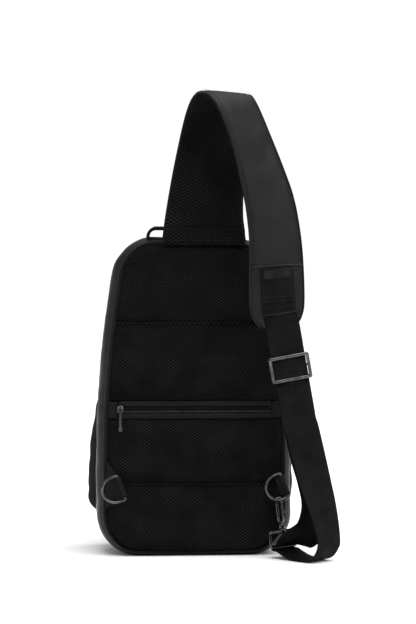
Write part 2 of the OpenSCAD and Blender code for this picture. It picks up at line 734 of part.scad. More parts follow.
base_panel();
kick_panel();
back_board();
back_panel_upper();
back_panel_lower();
back_zip_tape();
back_zip_end_tabs();
rear_piping();
left_side_panel();
right_side_panel();
top_panel();
left_zip_end_gusset();
right_zip_end_gusset();
main_zip_tape_rear();
inner_sleeve();
haul_handle();
left_d_ring_tab();
right_d_ring_tab();
strap_mesh();
strap_foam();
strap_cover();
strap_label();
webbing();
hook_base_ring();
front_panel();
left_front_gusset();
right_front_gusset();
top_front_gusset();
main_zip_tape_front();
front_pocket_gusset();
front_pocket_panel();
front_zip_tape();
back_zip_slider();
back_zip_pull();
main_zip_slider_lower();
main_zip_pull_lower();
main_zip_slider_upper();
main_zip_pull_upper();
front_zip_slider();
front_zip_pull();
left_d_ring();
right_d_ring();
hook_body();
hook_gate();
adjuster_frame();
adjuster_bar();
webbing_end_loop();
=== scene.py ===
from math import atan, cos, degrees, exp, hypot, pi, radians, sin

import bpy
from mathutils import Matrix, Vector, noise


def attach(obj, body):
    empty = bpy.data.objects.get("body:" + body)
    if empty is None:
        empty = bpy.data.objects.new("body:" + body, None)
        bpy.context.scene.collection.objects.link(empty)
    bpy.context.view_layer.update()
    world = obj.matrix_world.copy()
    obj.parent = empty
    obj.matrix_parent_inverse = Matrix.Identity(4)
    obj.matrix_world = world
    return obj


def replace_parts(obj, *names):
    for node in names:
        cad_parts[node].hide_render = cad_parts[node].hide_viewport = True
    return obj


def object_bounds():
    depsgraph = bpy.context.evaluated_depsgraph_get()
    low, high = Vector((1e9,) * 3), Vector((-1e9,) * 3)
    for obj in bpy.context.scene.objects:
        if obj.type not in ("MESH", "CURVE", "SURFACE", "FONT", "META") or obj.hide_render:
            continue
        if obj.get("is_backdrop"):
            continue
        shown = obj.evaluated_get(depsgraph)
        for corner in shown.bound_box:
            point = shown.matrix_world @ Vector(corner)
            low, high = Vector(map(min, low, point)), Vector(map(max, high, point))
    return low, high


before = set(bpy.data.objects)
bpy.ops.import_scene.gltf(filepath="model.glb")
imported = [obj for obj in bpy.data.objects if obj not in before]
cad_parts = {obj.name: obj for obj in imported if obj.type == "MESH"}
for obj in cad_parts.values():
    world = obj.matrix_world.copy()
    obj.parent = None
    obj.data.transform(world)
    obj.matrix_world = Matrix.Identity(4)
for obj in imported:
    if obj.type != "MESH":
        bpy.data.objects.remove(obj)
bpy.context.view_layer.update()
MM = 0.001

# -------------------- materials


M = {}  # every material, by the name given to its Shader


class Shader:
    """A material's node tree, built with short calls."""

    def __init__(self, name):
        self.mat = M[name] = bpy.data.materials.new(name)
        self.mat.use_nodes = True
        self.tree = self.mat.node_tree
        self.tree.nodes.clear()
        self.bsdf = self.add("ShaderNodeBsdfPrincipled")
        out = self.add("ShaderNodeOutputMaterial")
        self.tree.links.new(self.bsdf.outputs[0], out.inputs[0])

    def add(self, kind, props=None, **inputs):
        node = self.tree.nodes.new(kind)
        for key, value in (props or {}).items():
            setattr(node, key, value)
        for key, value in inputs.items():
            self.put(node.inputs[int(key[1:]) if key[1:].isdigit() else key], value)
        return node

    def put(self, socket, value):
        if isinstance(value, bpy.types.NodeSocket):
            self.tree.links.new(value, socket)
        else:
            socket.default_value = value

    def math(self, op, a, b=0.0):
        return self.add("ShaderNodeMath", {"operation": op}, i0=a, i1=b).outputs[0]

    def uv(self):
        out = self.add("ShaderNodeTexCoord").outputs["UV"]
        split = self.add("ShaderNodeSeparateXYZ", i0=out)
        return out, split.outputs[0], split.outputs[1]

    def place(self):
        return self.add("ShaderNodeTexCoord").outputs["Object"]

    def noise(self, vector, scale, detail=3.0, rough=0.55):
        node = self.add("ShaderNodeTexNoise", Vector=vector, Scale=scale, Detail=detail, Roughness=rough)
        return node.outputs[0]

    def wave(self, value, period_mm, phase=0.0):
        turned = self.math("MULTIPLY_ADD", value, 2 * pi / (period_mm * MM))
        turned.node.inputs[2].default_value = phase
        return self.math("SINE", turned)

    def ramp(self, value, stops):
        node = self.add("ShaderNodeValToRGB", i0=value)
        ramp = node.color_ramp
        while len(ramp.elements) < len(stops):
            ramp.elements.new(0.5)
        for element, (at, colour) in zip(ramp.elements, stops):
            element.position = at
            element.color = (*colour, 1)
        return node.outputs[0]

    def span(self, value, low, high):
        node = self.add("ShaderNodeMapRange", i0=value)
        node.inputs[3].default_value = low
        node.inputs[4].default_value = high
        return node.outputs[0]

    def bump(self, height, distance_mm, normal=None, strength=1.0):
        node = self.add("ShaderNodeBump", Height=height, Distance=distance_mm * MM, Strength=strength)
        if normal is not None:
            self.put(node.inputs["Normal"], normal)
        return node.outputs[0]

    def set(self, **values):
        for key, value in values.items():
            self.put(self.bsdf.inputs[key.replace("_", " ")], value)
        return self.mat


def woven(name, dark, light, rough, period, depth, sheen, crease=0.5, crease_scale=28, spec=0.5):
    """Plain-weave cloth: fine crossed threads over broad tone and crease variation."""
    s = Shader(name)
    _, u, v = s.uv()
    threads = s.math("MULTIPLY", s.wave(u, period), s.wave(v, period))
    tone = s.noise(s.place(), 34, 4)
    fleck = s.noise(s.place(), 900, 2)
    mixed = s.math("ADD", s.math("MULTIPLY", tone, 0.7), s.math("MULTIPLY", fleck, 0.3))
    colour = s.ramp(mixed, [(0.32, dark), (0.68, light)])
    soft = s.bump(s.noise(s.place(), crease_scale, 3, 0.5), crease)
    return s.set(Base_Color=colour, Roughness=s.span(tone, rough - 0.07, rough + 0.07),
                 Sheen_Weight=sheen, Sheen_Roughness=0.45, Specular_IOR_Level=spec,
                 Normal=s.bump(threads, depth, soft))


def spacer(name):
    """Knitted spacer mesh: a staggered lattice of small holes in a soft grey-black face, with painted
    shade making the holes near black.
    """
    s = Shader(name)
    coords, u, v = s.uv()
    warp = s.noise(coords, 60, 2)
    du = s.math("MULTIPLY_ADD", warp, 0.0007)
    s.put(du.node.inputs[2], u)
    lattice = s.math("MULTIPLY", s.wave(du, 5.2, pi / 2), s.wave(v, 3.6, pi / 2))
    knit = s.math("MULTIPLY", s.wave(u, 1.3), s.wave(v, 0.9))
    hole_shade_mask = s.ramp(lattice, [(0.0, (0, 0, 0)), (0.2, (1, 1, 1))])
    tone = s.noise(s.place(), 26, 4)
    thread = s.ramp(tone, [(0.3, (0.0055, 0.0055, 0.006)), (0.7, (0.0145, 0.0145, 0.0155))])
    # the hole mask paints the holes near black: painted shade inside the open lattice, far darker than
    # the black thread around it
    mix = s.add("ShaderNodeMix", {"data_type": "RGBA"})
    s.put(mix.inputs[0], hole_shade_mask)
    s.put(mix.inputs[6], thread)
    s.put(mix.inputs[7], (0.0004, 0.0004, 0.0005, 1))
    soft = s.bump(tone, 0.8)
    coarse = s.bump(hole_shade_mask, 1.1, soft, 0.9)
    coarse.node.invert = True
    return s.set(Base_Color=mix.outputs[2], Roughness=s.span(tone, 0.72, 0.88), Sheen_Weight=0.0,
                 Specular_IOR_Level=0.03, Normal=s.bump(knit, 0.12, coarse))


def ribbed(name, dark, light, across=1.5, along=2.1, depth=0.28, sheen=0.25):
    """Heavy webbing: ribs along its length, crossed by the picks of the weave."""
    s = Shader(name)
    _, u, v = s.uv()
    ribs = s.wave(u, across)
    shift = s.math("MULTIPLY_ADD", ribs, 0.0004)
    s.put(shift.node.inputs[2], v)
    picks = s.wave(shift, along)
    tone = s.noise(s.place(), 60, 4)
    weave = s.math("ADD", s.math("MULTIPLY", ribs, 0.6), s.math("MULTIPLY", picks, 0.4))
    # the weave's height is mixed into the colour, lighter on raised ribs and darker in the grooves:
    # painted shade between the ribs, over random tone
    shade = s.math("ADD", s.math("MULTIPLY", weave, 0.2), tone)
    colour = s.ramp(shade, [(0.3, dark), (0.75, light)])
    return s.set(Base_Color=colour, Roughness=s.span(tone, 0.48, 0.62), Sheen_Weight=sheen,
                 Sheen_Roughness=0.5, Specular_IOR_Level=0.05, Normal=s.bump(weave, depth))


def metal(name, dark, light, rough):
    s = Shader(name)
    tone = s.noise(s.place(), 130, 5)
    fine = s.noise(s.place(), 1400, 2)
    colour = s.ramp(tone, [(0.35, dark), (0.65, light)])
    return s.set(Base_Color=colour, Metallic=1.0, Roughness=s.span(tone, rough - 0.05, rough + 0.07),
                 Normal=s.bump(fine, 0.01))


def moulded(name, dark, light, rough, grain=0.05):
    s = Shader(name)
    tone = s.noise(s.place(), 45, 4)
    fine = s.noise(s.place(), 1100, 3)
    colour = s.ramp(tone, [(0.3, dark), (0.7, light)])
    return s.set(Base_Color=colour, Roughness=s.span(tone, rough - 0.06, rough + 0.06),
                 Normal=s.bump(fine, grain))


def grey(level, blue=1.06):
    return (level, level, level * blue)


woven("body_nylon", grey(0.002, 1.12), grey(0.005, 1.12), 0.36, 0.9, 0.05, 0.01, spec=0.2)
woven("strap_nylon", grey(0.002, 1.14), grey(0.005, 1.14), 0.32, 0.9, 0.06, 0.01, 1.2, spec=0.19)
woven("trim_nylon", grey(0.004), grey(0.008), 0.5, 1.0, 0.06, 0.01, spec=0.09)
woven("lining", grey(0.008), grey(0.013), 0.55, 1.1, 0.05, 0.02, 0.8, spec=0.15)
woven("pocket_cloth", grey(0.004), grey(0.012), 0.66, 2.2, 0.3, 0.02, 0.8, spec=0.14)
spacer("spacer_mesh")
ribbed("webbing", grey(0.003, 1.12), grey(0.008, 1.12), sheen=0.0)
ribbed("zip_tape", grey(0.002), grey(0.005), 1.1, 1.6, 0.12, 0.0)
ribbed("thread", grey(0.012), grey(0.026), 0.5, 0.9, 0.05, 0.0)
woven("stiffener", grey(0.008), grey(0.014), 0.6, 1.2, 0.06, 0.02, spec=0.15)
woven("label", grey(0.003), grey(0.006), 0.55, 1.0, 0.03, 0.0, 0.3, spec=0.1)
moulded("coil", grey(0.005), grey(0.010), 0.36)
metal("hardware", (0.055, 0.053, 0.055), (0.11, 0.107, 0.112), 0.1)
metal("dark_metal", (0.035, 0.035, 0.038), (0.07, 0.07, 0.074), 0.26)
ribbed("pull_cord", grey(0.03), grey(0.075), 0.9, 1.3, 0.12, 0.0)

# -------------------- mesh helpers


def placed(name, data):
    obj = bpy.data.objects.new(name, data)
    bpy.context.collection.objects.link(obj)
    return obj


def mesh(name, points, faces, material, body, uvs=None, smooth=True, nodes=()):
    """A mesh in the row frame from points in mm; uvs are per point, in mm."""
    data = bpy.data.meshes.new(name)
    data.from_pydata([Vector(p) * MM for p in points], [], faces)
    layer = data.uv_layers.new(name="UVMap")
    for loop in data.loops:
        p = points[loop.vertex_index]
        u, v = uvs[loop.vertex_index] if uvs else (p[0] + p[1] * 0.6, p[2] + p[1] * 0.4)
        layer.data[loop.index].uv = (u * MM, v * MM)
    data.materials.append(M[material])
    obj = placed(name, data)
    data.shade_smooth() if smooth else data.shade_flat()
    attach(obj, body)
    if nodes:
        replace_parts(obj, *nodes)
    return obj


def grid(name, rows, material, body, uvs=None, thick=0.0, closed=False, flip=False, nodes=(), offset=-1):
    """A sheet through rows of points. thick is solidified away from the outer face."""
    n, m = len(rows), len(rows[0])
    faces = []
    for i in range(n if closed else n - 1):
        for j in range(m - 1):
            a, b = i * m + j, ((i + 1) % n) * m + j
            quad = (a, b, b + 1, a + 1)
            faces.append(quad[::-1] if flip else quad)
    if uvs is None:
        uvs, run = [], 0.0
        for i, row in enumerate(rows):
            run += (Vector(row[m // 2]) - Vector(rows[i - 1][m // 2])).length if i else 0
            side = 0.0
            for j, p in enumerate(row):
                side += (Vector(p) - Vector(row[j - 1])).length if j else 0
                uvs.append((side, run))
    obj = mesh(name, [p for row in rows for p in row], faces, material, body, uvs, nodes=nodes)
    if thick:
        solid = obj.modifiers.new("thick", "SOLIDIFY")
        solid.thickness = thick * MM
        solid.offset = offset
    return obj


def frames(points, closed=False):
    """Tangents along a line of points."""
    n = len(points)
    out = []
    for i in range(n):
        a = points[(i - 1) % n] if closed else points[max(i - 1, 0)]
        b = points[(i + 1) % n] if closed else points[min(i + 1, n - 1)]
        out.append((b - a).normalized())
    return out


def sweep(name, points, wides, sections, material, body, closed=False, nodes=(), smooth=True):
    """Sections of (across, out) mm pairs swept along points; wides are the across directions."""
    points = [Vector(p) for p in points]
    tangents = frames(points, closed)
    rings, uvs, run = [], [], 0.0
    for i, (p, t) in enumerate(zip(points, tangents)):
        w = Vector(wides[i] if isinstance(wides, list) else wides)
        w = (w - t * w.dot(t)).normalized()
        v = t.cross(w)
        section = sections[i] if isinstance(sections[0], list) else sections
        run += (p - points[i - 1]).length if i else 0
        rings.append([p + w * a + v * b for a, b in section])
        uvs += [(a, run) for a, b in section]
    n, m = len(rings), len(rings[0])
    faces = []
    for i in range(n if closed else n - 1):
        for j in range(m):
            a, b = i * m, ((i + 1) % n) * m
            k = (j + 1) % m
            faces.append((a + j, a + k, b + k, b + j))
    if not closed:
        faces += [tuple(range(m))[::-1], tuple(range((n - 1) * m, n * m))]
    return mesh(name, [p for r in rings for p in r], faces, material, body, uvs, smooth, nodes)


def round_rect(width, thick, n=4):
    """Cross-section of a strip with rounded edges."""
    r, out = thick / 2, []
    for side, start in ((1, -90), (-1, 90)):
        for k in range(n + 1):
            a = radians(start + 180 * k / n)
            out.append((side * (width / 2 - r) + r * cos(a), r * sin(a)))
        for k in (0.5, 0.0, -0.5):
            out.append((side * k * (width - thick), side * r))
    return out


def circle(r, n=14):
    return [(r * cos(2 * pi * k / n), r * sin(2 * pi * k / n)) for k in range(n)]


def tube(name, points, r, material, body, closed=False, n=14, nodes=(), up=None):
    """A round wire; its cross-section is carried along without twisting."""
    points = [Vector(p) for p in points]
    tangents = frames(points, closed)
    side = Vector(up) if up else (Vector((0, 0, 1)) if abs(tangents[0].z) < 0.8 else Vector((1, 0, 0)))
    wides = []
    for t in tangents:
        side = (side - t * side.dot(t)).normalized()
        wides.append(side.copy())
    return sweep(name, points, wides, circle(r, n), material, body, closed, nodes)


def lathe(name, profile, matrix, material, body, n=32, nodes=()):
    """A turned part: profile is [radius, height] in mm about the matrix's Z."""
    rows = []
    for k in range(n):
        a = 2 * pi * k / n
        rows.append([matrix @ Vector((r * cos(a), r * sin(a), h)) for r, h in profile])
    return grid(name, rows, material, body, closed=True, nodes=nodes)


def resample(points, step):
    """Even steps along a line, as (point, tangent) pairs."""
    points = [Vector(p) for p in points]
    out, need = [], 0.0
    for a, b in zip(points, points[1:]):
        d = (b - a).length
        while need <= d and d > 0:
            out.append((a.lerp(b, need / d), (b - a).normalized()))
            need += step
        need -= d
    return out


def stitches(name, line, outs, body, length=2.3, gap=1.3, r=0.32, material="thread"):
    """A row of thread bars along line; outs is the outward direction, or one per point."""
    pts, faces, uvs = [], [], []
    line = [Vector(p) for p in line]
    for p, t in resample(line, length + gap):
        if isinstance(outs, list):
            near = min(range(len(line)), key=lambda i: (line[i] - p).length_squared)
            out = Vector(outs[near])
        else:
            out = Vector(outs)
        out = (out - t * out.dot(t)).normalized()
        side = t.cross(out)
        base = len(pts)
        for at, size in ((-0.5, 0.35), (-0.32, 1.0), (0.32, 1.0), (0.5, 0.35)):
            for a in range(6):
                turn = pi * a / 3
                pts.append(p + t * (at * length) + out * (r * 0.5 + r * size * sin(turn))
                           + side * (r * size * cos(turn)))
                uvs.append((a * 0.3, at * length))
        for k in range(3):
            for a in range(6):
                b = (a + 1) % 6
                c = base + k * 6
                faces.append((c + a, c + b, c + 6 + b, c + 6 + a))
    return mesh(name, pts, faces, material, body, uvs)


def rough(p, scale, seed=0.0):
    """Smooth noise from -1 to 1 at a point in mm."""
    return noise.noise(Vector((p[0] / scale + seed, p[1] / scale, p[2] / scale)))


# -------------------- outline of the body

H, BACK_Y, ZIP_Y = 345.0, -33.0, 8.0
DOWN, UP, REAR = (0.0, -1.0), (0.0, 1.0), (0, -1, 0)


def half_w(z):
    return 105 - 24 * (max(0, z - 100) / 245) ** 2


def lean_at(z):
    return atan(48 * max(0, z - 100) / 245 ** 2)


LOW_C = (60.0, 45.0)
SIDE_TOP = 300 + 45 * sin(lean_at(300))
TOP_C = (half_w(SIDE_TOP) - 45 * cos(lean_at(300)), 300.0)


def arc(c, r, a0, a1, n):
    out = []
    for i in range(n + 1):
        a = radians(a0 + (a1 - a0) * i / n)
        out.append((c[0] + r * cos(a), c[1] + r * sin(a), cos(a), sin(a)))
    return out


def side_run(z0, z1, n):
    out = []
    for i in range(n + 1):
        z = z0 + (z1 - z0) * i / n
        a = lean_at(z)
        out.append((half_w(z), z, cos(a), sin(a)))
    return out


def flip(path):
    return [(-x, z, -nx, nz) for x, z, nx, nz in path[::-1]]


# outlines are lists of (x, z, outward x, outward z)
LEAN = degrees(lean_at(300))
SHOULDER = arc(TOP_C, 45, LEAN, 90, 20) + [(x, H, *UP) for x in (28, 20, 12, 4)]
HALF = ([(x, 0.0, *DOWN) for x in (0, 12, 24, 36, 48)] + arc(LOW_C, 45, -90, 0, 20)
        + side_run(45, SIDE_TOP, 62)[1:-1] + SHOULDER)
BODY = HALF + flip(HALF)[:-1]
ZIP_HALF = side_run(47, SIDE_TOP, 62)[:-1] + SHOULDER
ZIP_PATH = ZIP_HALF + flip(ZIP_HALF)


def inset(p, d):
    k = d * (0.55 + 0.45 * abs(p[2]))
    return p[0] - p[2] * k, p[1] - p[3] * k


def inner_line(path, d, y):
    """The outline d mm in from its edge, as points at depth y."""
    return [(inset(p, d)[0], y, inset(p, d)[1]) for p in path]


def outer_line(path, h, y):
    """The outline h mm out from its edge, as points at depth y."""
    return [(p[0] + p[2] * h, y, p[1] + p[3] * h) for p in path]


def outward(path):
    return [(p[2], 0, p[3]) for p in path]


def rear_inset(y):
    return 9 * max(0, (-16 - y) / 17) ** 2.6


def front_inset(y):
    return 4 * (max(0, y - 25) / 9.7) ** 2


def width_at(z, d):
    """Half width of the body's outline, d mm in from its edge, at height z."""
    low, high = 0.55 * d, H - 0.55 * d
    z = min(max(z, low + 0.01), high - 0.01)
    best = 0.0
    pts = [inset(p, d) for p in HALF]
    for a, b in zip(pts, pts[1:]):
        if min(a[1], b[1]) <= z <= max(a[1], b[1]) and abs(a[1] - b[1]) > 1e-6:
            f = (z - a[1]) / (b[1] - a[1])
            best = max(best, a[0] + (b[0] - a[0]) * f)
    return best


def wall(name, path, ys, inset_fn, material, body, nodes, bulge, closed=False):
    """A gusset along path, through the depths ys; bulge pushes it out."""
    rows = []
    for p in path:
        row = []
        for y in ys:
            x, z = inset(p, inset_fn(y))
            push = bulge(p, y)
            row.append((x + p[2] * push, y, max(z + p[3] * push, 0.0)))
        rows.append(row)
    return grid(name, rows, material, body, thick=1.2, closed=closed, nodes=nodes)


def spread(a, b, n):
    return [a + (b - a) * i / n for i in range(n + 1)]


def seam_waves(p, y, low, high, amp):
    """Puckers that run in from the two seams of a gusset, on top of broad soft waves."""
    s = p[1] * 0.9 + p[0] * 0.55
    near_low = exp(-(y - low) / 6.0)
    near_high = exp(-(high - y) / 5.0)
    flat = (p[0], 0, p[1])
    pucker = sin(s / 3.1 + 2.2 * rough(flat, 30, 3)) * (0.6 + 0.5 * rough(flat, 45, 8))
    broad = rough((p[0], y * 0.8, p[1]), 34, 1) * 1.1 + rough((p[0], y, p[1]), 15, 5) * 0.45
    inner = sin(pi * min(max((y - low) / (high - low), 0), 1))
    floor = 1.0 if p[3] > -0.35 else 0.15
    waves = pucker * (near_low + near_high) * 0.75 + broad * inner * 1.2
    return floor * amp * waves + inner * 0.9 * floor


wall("rear_gusset", BODY, spread(BACK_Y, -24, 9) + spread(-22, 3.7, 13), rear_inset,
     "body_nylon", "bag", ("left_side_panel", "right_side_panel", "top_panel", "base_panel"),
     lambda p, y: seam_waves(p, y, -33, 4, 1.35), closed=True)
low_loop = [p for p in flip(HALF) if p[1] < 46.5][:-1] + [p for p in HALF if p[1] < 46.5]
wall("base_gusset", low_loop, spread(3.7, 26, 10) + spread(27, 35, 6), front_inset,
     "body_nylon", "bag", ("left_zip_end_gusset", "right_zip_end_gusset"),
     lambda p, y: 0.3 * seam_waves(p, y, 4, 35, 0.6))
wall("front_gusset", ZIP_PATH, spread(12.3, 26, 8) + spread(27, 34.7, 6), front_inset,
     "body_nylon", "front_shell", ("left_front_gusset", "right_front_gusset", "top_front_gusset"),
     lambda p, y: 0.7 * seam_waves(p, y, 12, 35, 0.6))


def panel(name, d, z0, z1, y, out, material, body, nodes, crown, nx, nz, ripple, thick=1.2, seed=0.0):
    """A flat panel with the outline's shape between two heights; out is +1 or -1 along Y."""
    rows = []
    for j in range(nz + 1):
        z = z0 + (z1 - z0) * j / nz
        w = width_at(z, d)
        row = []
        for i in range(nx + 1):
            s = -1 + 2 * i / nx
            dome = (1 - abs(s) ** 3) * (1 - abs(2 * j / nz - 1) ** 3)
            lift = crown * dome + ripple * rough((w * s, seed, z), 30, seed) * min(1, dome * 2)
            row.append((w * s, y + out * lift, z))
        rows.append(row)
    return grid(name, rows, material, body, thick=thick, flip=out > 0, nodes=nodes)


panel("kick_panel", 0.2, 0.2, 36, 36.4, 1, "body_nylon", "bag", ("kick_panel",), 0.4, 30, 8, 0.4)
panel("front_panel", 4.2, 36.5, 342.6, 36.3, 1, "body_nylon", "front_shell", ("front_panel",), 0.0,
      30, 50, 0.0)
panel("front_lining", 5.8, 38, 341, 34.6, -1, "lining", "front_shell", (), 0.6, 30, 50, 1.2, 0.5, 4)
panel("board_cover", 13, 8, 337, BACK_Y + 2.5, 1, "stiffener", "bag", ("back_board",), 0.0,
      28, 44, 0.5, 2.4, 6)

# -------------------- back panel


def pad_rows(z0, z1, d, thick, nx, nz, full=1.0):
    """Rows of a quilted cushion: rolls off at its edges and crowns in the middle."""
    rows = []
    for j in range(nz + 1):
        z = z0 + (z1 - z0) * j / nz
        w = width_at(z, d)
        row = []
        for i in range(nx + 1):
            s = -1 + 2 * i / nx
            edge = min(w * (1 - abs(s)), z - z0, z1 - z)
            roll = 1 - (1 - min(1, max(edge, 0) / 9.0)) ** 2.4
            if i in (0, nx) or j in (0, nz):
                roll = 0.0
            crown = 0.82 + 0.18 * (1 - s * s) * (1 - (2 * j / nz - 1) ** 2)
            x = w * s
            wob = 0.5 * rough((x, 0, z), 24, z0) * roll
            row.append((x, BACK_Y - 1.2 - (thick * roll * crown) * full - wob, z))
        rows.append(row)
    return rows


PUFF_FRAMES = 20


def puffed(rows, most=2.2):
    """The cushion's face after a short inflation against its sewn edge, with its moves capped."""
    n, m = len(rows), len(rows[0])
    pts = [Vector(p) for row in rows for p in row]
    back, faces = {}, []
    for i in range(n):
        for j in range(m):
            if 0 < i < n - 1 and 0 < j < m - 1:
                back[(i, j)] = len(pts)
                pts.append(Vector((rows[i][j][0], BACK_Y - 0.4, rows[i][j][2])))

    def at(i, j):
        return back.get((i, j), i * m + j)

    for i in range(n - 1):
        for j in range(m - 1):
            faces.append((i * m + j, i * m + j + 1, (i + 1) * m + j + 1, (i + 1) * m + j))
            faces.append((at(i, j), at(i + 1, j), at(i + 1, j + 1), at(i, j + 1)))
    data = bpy.data.meshes.new("puff")
    data.from_pydata([p * MM for p in pts], [], faces)
    obj = placed("puff", data)
    pin = obj.vertex_groups.new(name="pin")
    edge = [i * m + j for i in range(n) for j in range(m) if i in (0, n - 1) or j in (0, m - 1)]
    pin.add(edge + list(back.values()), 1.0, "REPLACE")
    cloth = obj.modifiers.new("cloth", "CLOTH")
    c = cloth.settings
    c.vertex_group_mass = "pin"
    c.use_pressure, c.uniform_pressure_force = True, 4.0
    c.effector_weights.gravity = 0.0
    c.tension_stiffness = c.compression_stiffness = 25
    c.shear_stiffness, c.bending_stiffness = 8, 0.4
    c.shrink_min = -0.03
    cloth.point_cache.frame_start, cloth.point_cache.frame_end = 1, PUFF_FRAMES
    scene = bpy.context.scene
    for f in range(1, PUFF_FRAMES + 1):
        scene.frame_set(f)
    moved = obj.evaluated_get(bpy.context.evaluated_depsgraph_get()).to_mesh()
    out = []
    for i in range(n):
        row = []
        for j in range(m):
            p = Vector(rows[i][j])
            q = moved.vertices[i * m + j].co / MM
            step = q - p
            if step.length > most:
                step = step.normalized() * most
            row.append(tuple(p + step))
        out.append(row)
    scene.frame_set(1)
    bpy.data.objects.remove(obj)
    return out


def cushion(name, z0, z1, nodes=()):
    nz = max(10, round((z1 - z0) / 5))
    rows = pad_rows(z0, z1, 9.6, 7.6, 38, nz, 0.9)
    rows = puffed(rows)
    uvs = [(p[0], p[2]) for row in rows for p in row]
    obj = grid(name, rows, "spacer_mesh", "bag", uvs, nodes=nodes)
    sub = obj.modifiers.new("smooth", "SUBSURF")
    sub.levels = sub.render_levels = 2


cushion("back_pad_top", 254.2, 339.6, ("back_panel_upper",))
cushion("back_pad_middle", 168.0, 251.8)
cushion("back_pad_low", 79.2, 149.2, ("back_panel_lower",))
cushion("back_pad_base", 5.4, 76.8)
for key, z in (("upper", 253), ("lower", 78)):
    w = width_at(z, 10)
    line = [(w * s / 20, BACK_Y - 1.9, z) for s in range(-20, 21)]
    # the channel strip takes the darkest material, zip_tape, so the crease between the cushions reads
    # dark: painted shade in the crease
    sweep(f"channel_{key}", line, (0, 0, 1), round_rect(3.6, 1.0), "zip_tape", "bag")
    stitches(f"channel_stitch_{key}", [(p[0], p[1] - 0.5, p[2]) for p in line], REAR, "bag")

wides = [(p[2], -0.55, p[3]) for p in BODY]
sweep("edge_binding", inner_line(BODY, 8.0, BACK_Y - 1.0), wides, round_rect(4.6, 2.2, 6),
      "trim_nylon", "bag", closed=True, nodes=("rear_piping",))
stitches("binding_stitch", inner_line(BODY, 8.6, BACK_Y - 2.3), REAR, "bag", 2.0, 1.2, 0.25)
tube("rear_piping_cord", inner_line(BODY, 6.1, BACK_Y + 1.0), 1.3, "body_nylon", "bag",
     closed=True, n=10)

# zip pocket band across the back: half its width, a tab's length, half the strips' width
ZW = half_w(150) - 10
TAB = 11.0
BAND_W = ZW - TAB


def strip(name, z0, z1, y, bow, material, ripple=0.25):
    n, m = 46, 6
    rows = []
    for j in range(m + 1):
        z = z0 + (z1 - z0) * j / m
        rows.append([(-BAND_W + 2 * BAND_W * i / n, y - bow * sin(pi * j / m)
                      - ripple * rough((i * 4.0, 0, z), 11, z0), z) for i in range(n + 1)])
    return grid(name, rows, material, "bag", thick=0.8)


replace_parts(strip("zip_welt_upper", 162.8, 168.2, BACK_Y - 2.6, 1.0, "trim_nylon"), "back_zip_tape")
strip("zip_welt_lower", 149.2, 154.6, BACK_Y - 2.3, 0.9, "trim_nylon")
strip("zip_tape_back", 153.6, 164.0, BACK_Y - 1.5, 0.5, "zip_tape", ripple=0.1)
strip("zip_cover", 158.6, 161.6, BACK_Y - 2.1, 0.9, "zip_tape", ripple=0.12)
for key, z in (("a", 164.0), ("b", 153.4)):
    line = [(-BAND_W, BACK_Y - 3.5, z), (BAND_W, BACK_Y - 3.5, z)]
    stitches(f"welt_stitch_{key}", line, REAR, "bag")


def row_of(name, line, outs, body, size, pitch):
    """Small rounded teeth set along a line: size is (along, across, out)."""
    pts, faces = [], []
    line = [Vector(p) for p in line]
    outs = [Vector(o) for o in outs]
    for p, t in resample(line, pitch):
        near = min(range(len(line)), key=lambda i: (line[i] - p).length_squared)
        o = outs[near]
        w = t.cross(o).normalized()
        base = len(pts)
        for h, k in ((0.0, 1.0), (0.7, 1.0), (1.0, 0.6)):
            for sx, sy in ((-1, -1), (1, -1), (1, 1), (-1, 1)):
                pts.append(p + t * (sx * size[0] * k / 2) + w * (sy * size[1] * k / 2)
                           + o * (h * size[2]))
        for a in (0, 4):
            for j in range(4):
                k = (j + 1) % 4
                faces.append((base + a + j, base + a + k, base + a + 4 + k, base + a + 4 + j))
        faces.append((base + 8, base + 9, base + 10, base + 11))
    return mesh(name, pts, faces, "coil", body)


line = [(-BAND_W + 2 * BAND_W * i / 60, BACK_Y - 1.9, 157.2) for i in range(61)]
row_of("zip_teeth_back", line, [REAR] * 61, "bag", (1.1, 2.6, 0.9), 1.7)

for key, side in (("left", -1), ("right", 1)):
    rows = []
    for j in range(9):
        z = 149.6 + 18 * j / 8
        rows.append([(side * (ZW - TAB * i / 6),
                      BACK_Y - 2.0 - 1.0 * sin(pi * (0.12 + 0.76 * i / 6))
                      - 0.25 * rough((i * 3.0, side, z), 6), z) for i in range(7)])
    obj = grid(f"zip_tab_{key}", rows, "trim_nylon", "bag", thick=1.0, flip=side < 0)
    if side < 0:
        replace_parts(obj, "back_zip_end_tabs")
    x = side * (ZW - TAB + 1.4)
    line = [(x, BACK_Y - 3.1, 150.4), (x, BACK_Y - 3.1, 167)]
    stitches(f"zip_tab_stitch_{key}", line, REAR, "bag")

# -------------------- zips round the bag and their tapes


def zip_tape(name, path, y0, y1, lift0, lift1, material, body, nodes, closed=False):
    rows = [[(p[0] + p[2] * h, y, p[1] + p[3] * h) for y, h in
             ((y0, lift0), ((y0 + y1) / 2, (lift0 + lift1) / 2 + 0.1), (y1, lift1))] for p in path]
    return grid(name, rows, material, body, thick=0.7, nodes=nodes, closed=closed)


